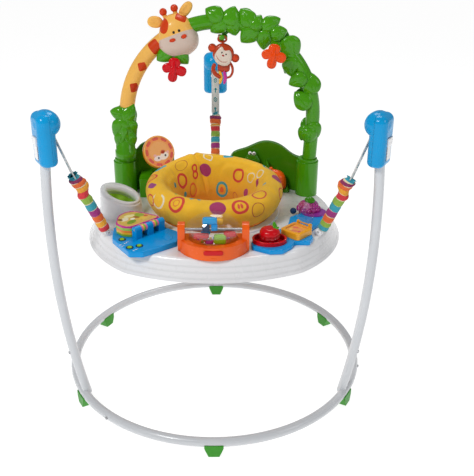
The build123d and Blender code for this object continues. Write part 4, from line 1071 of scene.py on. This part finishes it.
def make_monkey():
    place, loop = hung_place("monkey")
    toy = Sculpt().add(rod(circle(LOOP_R), LOOP_WIRE, 10, closed=True), loop, BROWN)
    wide = [(4 + 11 * cos(t), 4.5 + 7.5 * sin(t), 6) for t in angles(40)]
    toy.add(rod(wide, 2.9, 10, closed=True), place, BROWN)
    toy.add(rod([(5, 0, 2), (7, -14, 1)], 3.6), place, BROWN)
    head = moved(place, 7, -36, 0, -23)
    toy.add(pillow(oval(29, 28, 2.1), 11, 10, 2.8), head, BROWN)
    for x, y in ((-34, 3), (34, 2)):
        toy.add(pillow(oval(11.5, 11.5), 6, 6, 2.6), moved(head, x, y), BROWN)
        toy.add(pillow(oval(7, 7), 2, 1, 2.6), moved(head, x * 0.99, y, 5), RUST)
    face = smooth([(-3, 14), (-14, 20), (-21, 8), (-23, -10), (-13, -25), (4, -28), (19, -22), (24, -8),
                   (20, 8), (10, 19)], 48)
    toy.add(pillow([p + Vector((2, -2)) for p in face], 6, 3, 2.8), moved(head, 0, 0, 8), CREAM)
    for x in (-6, 6):
        toy.add(ball(2.0, 2.4, 1), moved(head, x, 4, 13.6), BLACK)
    toy.add(ball(3.2, 2.4, 1.6), moved(head, 0, -2, 13.8), DEEP_RED)
    smile = [(-17, -7, 11.6), (-12, -14, 13.2), (1, -19, 13.6), (14, -15, 13.2), (20, -7, 11.6)]
    toy.add(rod(smooth(smile, 18, closed=False), 0.7, 6), head, BROWN)
    place = moved(place, 2, -9)
    arm = smooth([(-20, -58, 1), (-23, -68, 2), (-18, -80, 4), (-6, -88, 5)], 14, closed=False)
    toy.add(rod(arm, [6 + 0.06 * i for i in range(14)], 14, flat=0.8), place, BROWN)
    for x, finish in ((-4, YELLOW), (8, MAGENTA)):
        fruit = [(x - 1, -76, 3), (x + 2, -86, 4), (x + 2, -96, 4), (x - 1, -107, 3)]
        toy.add(rod(smooth(fruit, 12, closed=False), [3.2, 4, 4.5, 4.8, 5, 5, 5, 4.8, 4.6, 4.2, 3.6, 2.6],
                    12), place, finish)
    tail = smooth([(22, -50, 0), (29, -62, 0), (30, -76, 0), (24, -88, 1), (14, -92, 2)], 20, closed=False)
    toy.add(rod(tail, [4 - 0.06 * i for i in range(20)], 12), place, BROWN)
    toy.add(pillow(oval(17, 14, 3), 5, 5), moved(place, 6, -64, -2), BROWN)
    toy.piece("monkey_toy", "monkey_toy", "monkey_brown", ["monkey"])
    x, y, z = PEGS["monkey"]
    knob = Sculpt().add(ball(7.5), facing(at(x + 3, y - 14, z + 3)), GREEN)
    knob.piece("peg_knob", "tray", "green_plastic")


make_arch()
make_giraffe()
make_butterfly("butterfly_red", "red_butterfly", RED, 9)
make_butterfly("butterfly_orange", "orange_butterfly", ORANGE, 1)
make_monkey()


# -------------------------------------------------------------- spinning drum
DRUM = (0.0, -250.0, 557.0)


def make_drum_toy():
    shell = moulded("warm orange plastic", "#ee6012", 0.22, 0.25)
    paint(shell, "ball_cradle")
    paint(clear("clear drum", "#f4f8fa"), "ball_shell")
    place = facing(at(*DRUM))

    inside = Sculpt().add(rod([(-50, 0, 0), (50, 0, 0)], 3.4), place, shell)
    for x, y, z, a, b, c, finish in (
            (-9, 27, 8, 18, 8.5, 8, SKY), (-18, 12, 16, 9, 9, 7, NAVY), (2, 13, 16, 8, 8, 7, BLUE),
            (16, -17, 20, 15, 12, 8, LIME), (-30, -9, 18, 19, 5, 9, RED), (40, -6, 14, 15, 4.5, 9, RED),
            (12, 12, -20, 12, 8, 6, YELLOW), (-20, -14, -20, 12, 8, 6, SKY),
            (-10, -27, 14, 9, 4.5, 5, MAGENTA)):
        inside.add(pillow(oval(a, b, 6), c, c, 5), moved(place, x, y, z), finish)
    beads = random.Random(7)
    for i in range(16):
        across = -38 + 5 * i
        fall = 41 * sqrt(1 - (across / 68) ** 2) - 6
        a = beads.uniform(-0.5, 0.5)
        finish = (MAGENTA, YELLOW, LIME, SKY, RED)[i % 5]
        inside.add(ball(3.6), moved(place, across, -fall * cos(a), fall * sin(a)), finish)
    inside.piece("drum_blocks", "drum", "rotor_plastic", ["ball_rotor"])
    trim = Sculpt()
    for z, y, a in ((522, -276, 84), (506, -287, 74)):
        band = [(-a, 26, 0), (-a * 0.6, 2, 0), (0, -24, 0), (a * 0.6, 2, 0), (a, 26, 0)]
        trim.add(rod(smooth(band, 30, closed=False), 2.6, 10), level(0, y, z), shell)
    trim.add(pillow(oval(24, 6.5, 5), 1.6, 1, 4), facing(at(0, -311.5, 522), FRONT), RED)
    trim.piece("cradle_trim", "tray", "orange_plastic")


# ------------------------------------------------------------------ book toy
HINGE_MIDDLE = (-167.0, -183.0, 538.0)
HINGE_ANGLE = 43.7


def make_book():
    a = radians(HINGE_ANGLE)
    along, across = Vector((cos(a), sin(a), 0)), Vector((-sin(a), cos(a), 0))
    centre = at(*HINGE_MIDDLE)
    paint(BLUE, "book_base")
    material, tree, shader = new_material("page stack", Coat_Weight=0.3, Roughness=0.35)
    height = add(tree, "SeparateXYZ", {0: place_of(tree)}).outputs["Z"]
    ramp = add(tree, "ValToRGB", {0: ranged(tree, height, 0.516, 0.543)})
    ramp.color_ramp.interpolation = "CONSTANT"
    for place, colour in ((0.0, "#7db32a"), (0.2, "#efb21e"), (0.4, "#ec7a1c"), (0.6, "#8cc43a"),
                          (0.84, "#c42f86")):
        stop = ramp.color_ramp.elements[0] if place == 0.0 else ramp.color_ramp.elements.new(place)
        stop.color = tint(colour)
    ramp.color_ramp.elements.remove(ramp.color_ramp.elements[-1])
    flat = flat_on(tree, centre, along, across)
    pink, gold, green = "#e66ca4", "#f0c02c", "#66b244"
    bands = [disc(x, 0, 2.3, 10.5, colour, 0, 8) for x, colour in (
        (-26, pink), (-21.5, gold), (-17, green), (-12, pink), (11, pink), (15.5, gold), (20, green),
        (25, pink))]
    ground = printed(tree, flat, ramp.outputs[0], bands)
    dress(tree, shader, mottled(tree, ground, 30.0, 0.05), normal=bumped(tree, noise_of(tree, 300.0), 0.0001))
    paint(material, "book_pages")
    picture = [disc(-30, 60, 13, 9, "#e9dcc0", 20), disc(-8, 70, 16, 8, "#f0e2a8", -10),
               disc(16, 58, 12, 14, "#9cb03a"), disc(-26, 36, 16, 9, "#7f9a34", 15),
               disc(12, 38, 14, 10, "#e8c14a"), disc(-40, 66, 6, 8, "#8b5a2e"),
               disc(2, 52, 5, 9, "#a35a34", 30), disc(26, 44, 6, 6, "#cf5a3a"),
               disc(-12, 50, 7, 5, "#f5efe0"), hoop(-4, 55, 46, 34, "#b48a4c", 2, 0, 3)]
    cover = moulded("book picture", "#d8b25c", 0.3, 0.5, marks=picture, flat=(centre, along, across))
    page = smooth([(-43, 15), (0, 14), (42, 15), (42, 34), (18, 88), (-20, 92), (-56, 58), (-57, 30)], 60)
    place = facing(at(HINGE_MIDDLE[0], HINGE_MIDDLE[1], 543.0), UP, across)
    page = [Vector((p.x, p.y)) for p in page]
    middle = sum(page, Vector((0, 0))) / len(page)
    book = Sculpt().add(rod([(*p, 0) for p in page], 1.7, 8, closed=True), place, MAGENTA)
    book.add(pillow([middle + (p - middle) * 0.975 for p in page], 1.0, 0.6, 6), place, cover)
    book.piece("book_cover", "book", "page_plastic")
    extras = Sculpt()
    for index, (x, y) in enumerate(((-231, -220), (-207, -266), (-184, -256)), 1):
        paint(LIME, f"tune_button_{index}")
        extras.add(rod(circle(8.2), 1.5, 10, closed=True), level(x, y, 515.4), NAVY)
    # plain note marks
    for x, y in ((-218, -236), (-222, -243), (-232, -250), (-226, -257), (-196, -282), (-190, -276)):
        note = facing(at(x, y, 515.1), UP, (0.5, 1, 0))
        extras.add(ball(1.9, 1.5, 0.7), note, WHITE)
        extras.add(rod([(1.6, 0, 0.2), (1.6, 6, 0.2)], 0.55, 6), note, WHITE)
    extras.add(leaf(46, 26, 1.6), moved(facing(at(-118, -200, 515.0), UP, (-0.2, 1, 0)), 0, -22), BLUE)
    extras.piece("book_details", "tray", "blue_plastic")


# -------------------------------------------------------- panels at the back
LION = (-166.0, 150.0, 620.0)
LION_WAY = Vector((0.42, -0.78, 0.46)).normalized()


def make_lion():
    across = Vector((0.88, 0.47, 0)).normalized()
    up = LION_WAY.cross(across)
    mane = [hoop(0, 0, 39, 39, "#ea7a20", 9)]
    mane += [disc(39 * cos(a), 39 * sin(a), 9, 5.4, "#d23a0b", degrees(a) + 90, 4)
             for a in (turned + 0.3 for turned in angles(9))]
    features = [disc(0, 0, 31, 30, "#e9a04a"), disc(12, -14, 15, 10, "#efe3d6", 25),
                disc(-8, -19, 13, 8, "#eddcd8", 8), disc(10, -2, 8, 6, "#c8501c", 20, 1.6),
                disc(-6, -18, 3, 3, "#2a2730"), disc(16, -13, 3, 3.6, "#2a2730"),
                disc(-16, -10, 5, 4, "#e7a7a0"), disc(25, -4, 4, 4, "#e7a7a0"),
                hoop(0, 0, 46, 46, "#f0b458", 2.5)]
    printed_disc = moulded("lion disc print", "#e6902c", 0.28, 0.4, marks=mane + features,
                           flat=(at(*LION), across, up))
    paint(printed_disc, "lion_disc")
    place = facing(at(*LION), LION_WAY, up)
    trim = Sculpt().add(rod(circle(44.5, 60, 12.2), 2.6, 10, closed=True), place,
                        moulded("lion rim plastic", "#eea94e", 0.25, 0.4))
    trim.add(ball(5, 3.6, 2.4), moved(place, 10, -2, 14), BROWN)
    trim.piece("lion_trim", "lion", "lion_orange")
    paint(GREEN, "lion_stand")
    paint(DARK_GREEN, "hill_panel")


PEAR_FOOT = at(206, 146, 510)
PEAR_TOP = at(157, 152, 576)


def make_hill():
    frog = Sculpt()
    place = facing(at(112, 206, 592), (-0.25, -1, 0.1))
    outline = smooth([(-24, -18), (-16, 2), (-8, 12), (0, 8), (8, 12), (16, 2), (26, -18), (0, -26)], 40)
    frog.add(pillow(outline, 9, 4), place, DARK_GREEN)
    for x in (-6, 6):
        frog.add(ball(5.5, 5.5, 5), moved(place, x, 8, 6), WHITE)
        frog.add(ball(2.4, 2.8, 1.6), moved(place, x + 1, 8, 10.6), BLACK)
    mouth = smooth([(-14, -6, 8.5), (0, -10, 9.5), (15, -6, 8.5)], 12, closed=False)
    frog.add(rod(mouth, 0.9, 6), place, GREEN)
    frog.piece("hill_relief", "tray", "dark_green")
    way = PEAR_TOP - PEAR_FOOT
    place = facing(PEAR_FOOT, way, FRONT)
    rounds = [(6, 1, 0), (13, 8, 0), (20, 20, 0), (25, 33, 0), (24, 46, 0), (17, 58, 0), (10, 66, 0),
              (8, 70, 0), (9, 74, 0), (6, 77.5, 0), (2, 78, 0)]
    fruit = lathe([(p.x, p.y) for p in smooth(rounds, 40, closed=False)], 40)
    Sculpt().add(fruit, place, moulded("mango plastic", "#e95a0e", 0.3, 0.35)).piece(
        "mango_spinner", "pear", "orange_plastic", ["pear_spinner"])
    foot = lathe([(11, -12), (11, -3), (9.5, -1)], 28)
    Sculpt().add(foot, place, GREEN).piece("mango_foot", "tray", "dark_green")


# ------------------------------------------------------- fruit toys, in front
APPLE = (141.0, -222.0)
TILE = (213.0, -178.0)
TILE_TURN = -44.0
BERRIES = (260.0, -27.0)


def make_fruits():
    paint(BLUE, "fruit_base")
    paint(RED, "apple_dish")
    place = level(*APPLE, 0)
    low = [(14.7, 512), (22.54, 514), (26.46, 520), (27.44, 527), (26, 533), (22, 536)]
    apple = Sculpt().add(lathe(low, 80, 10, 0.10), place, DEEP_RED)
    high = [(24, 531), (26.5, 534), (26, 539), (22.5, 544.5), (16, 548.5), (8, 550), (2, 549)]
    apple.add(lathe(high, 60, 5, 0.035), place, RED)
    stalk = facing(at(APPLE[0] + 15, APPLE[1] - 4, 545), (0.5, -0.6, 0.65), (0.5, 0.3, 0.6))
    for length, width, turn in ((24, 13, 38), (27, 12, 178)):
        apple.add(leaf(length, width, 3, 2), moved(stalk, 0, 0, 0, turn), GREEN)
    apple.add(rod([(0, 0, -6), (0, 3, 2), (1, 6, 5)], [3, 3.2, 2.6]), stalk, GREEN)
    apple.piece("apple_toy", "apple", "red_plastic", ["apple_spinner"])
    rim = [(41 * cos(t), 31.5 * sin(t), 519) for t in angles(72)]
    dish = Sculpt().add(rod(rim, 3.6, 12, closed=True, flat=0.8), place, RED)
    dish.piece("dish_rim", "tray", "red_plastic")

    turn = radians(TILE_TURN)
    across, up = Vector((cos(turn), sin(turn), 0)), Vector((-sin(turn), cos(turn), 0))
    treats = [disc(0, 0, 24, 24, "#f0a64c", 0, 8), disc(-9, 8, 8, 6, "#e8705c", 30),
              disc(8, 6, 9, 5, "#ee9a6c", -20), disc(2, -9, 12, 6, "#e8845c", 10),
              disc(-12, -8, 4, 5, "#f4d06a"), disc(14, -6, 4, 6, "#d8586a", 20),
              hoop(0, 0, 20, 20, "#f6bd5a", 2, 0, 6)]
    amber = moulded("amber tile", "#eda31e", 0.25, 0.4, marks=treats, flat=(at(*TILE, 520), across, up))
    paint(amber, "tile_frame")
    paint(clear("clear flap", "#f4f0ea", 0.1, 0.06), "tile_flap")

    paint(PURPLE, "berry_plate")
    bunch = Sculpt()
    berries = random.Random(11)
    x, y = BERRIES
    for layer, (count, radius, z) in enumerate(((11, 27, 519), (10, 22, 527), (7, 14, 534), (1, 0, 539))):
        for turned in angles(count, layer * 0.5):
            a = turned + berries.uniform(-0.08, 0.08)
            spot = at(x + radius * cos(a), y + radius * 0.82 * sin(a), z + berries.uniform(-1, 1))
            bunch.add(ball(7.6, sides=16), facing(spot), GRAPE)
    bunch.add(lathe([(24, 512), (26, 519), (20, 530), (6, 537)], 30), level(x, y, 0), GRAPE)
    top = facing(at(x, y - 15, 541), (0, -0.6, 0.8), (0.2, 0.8, 0.6))
    bunch.add(leaf(24, 29, 4, 2), top, DARK_GREEN)
    bunch.add(ball(9), facing(at(217, -38, 516)), NAVY)
    bunch.piece("berry_bunch", "tray", "berry_purple")


make_drum_toy()
make_book()
make_lion()
make_hill()
make_fruits()
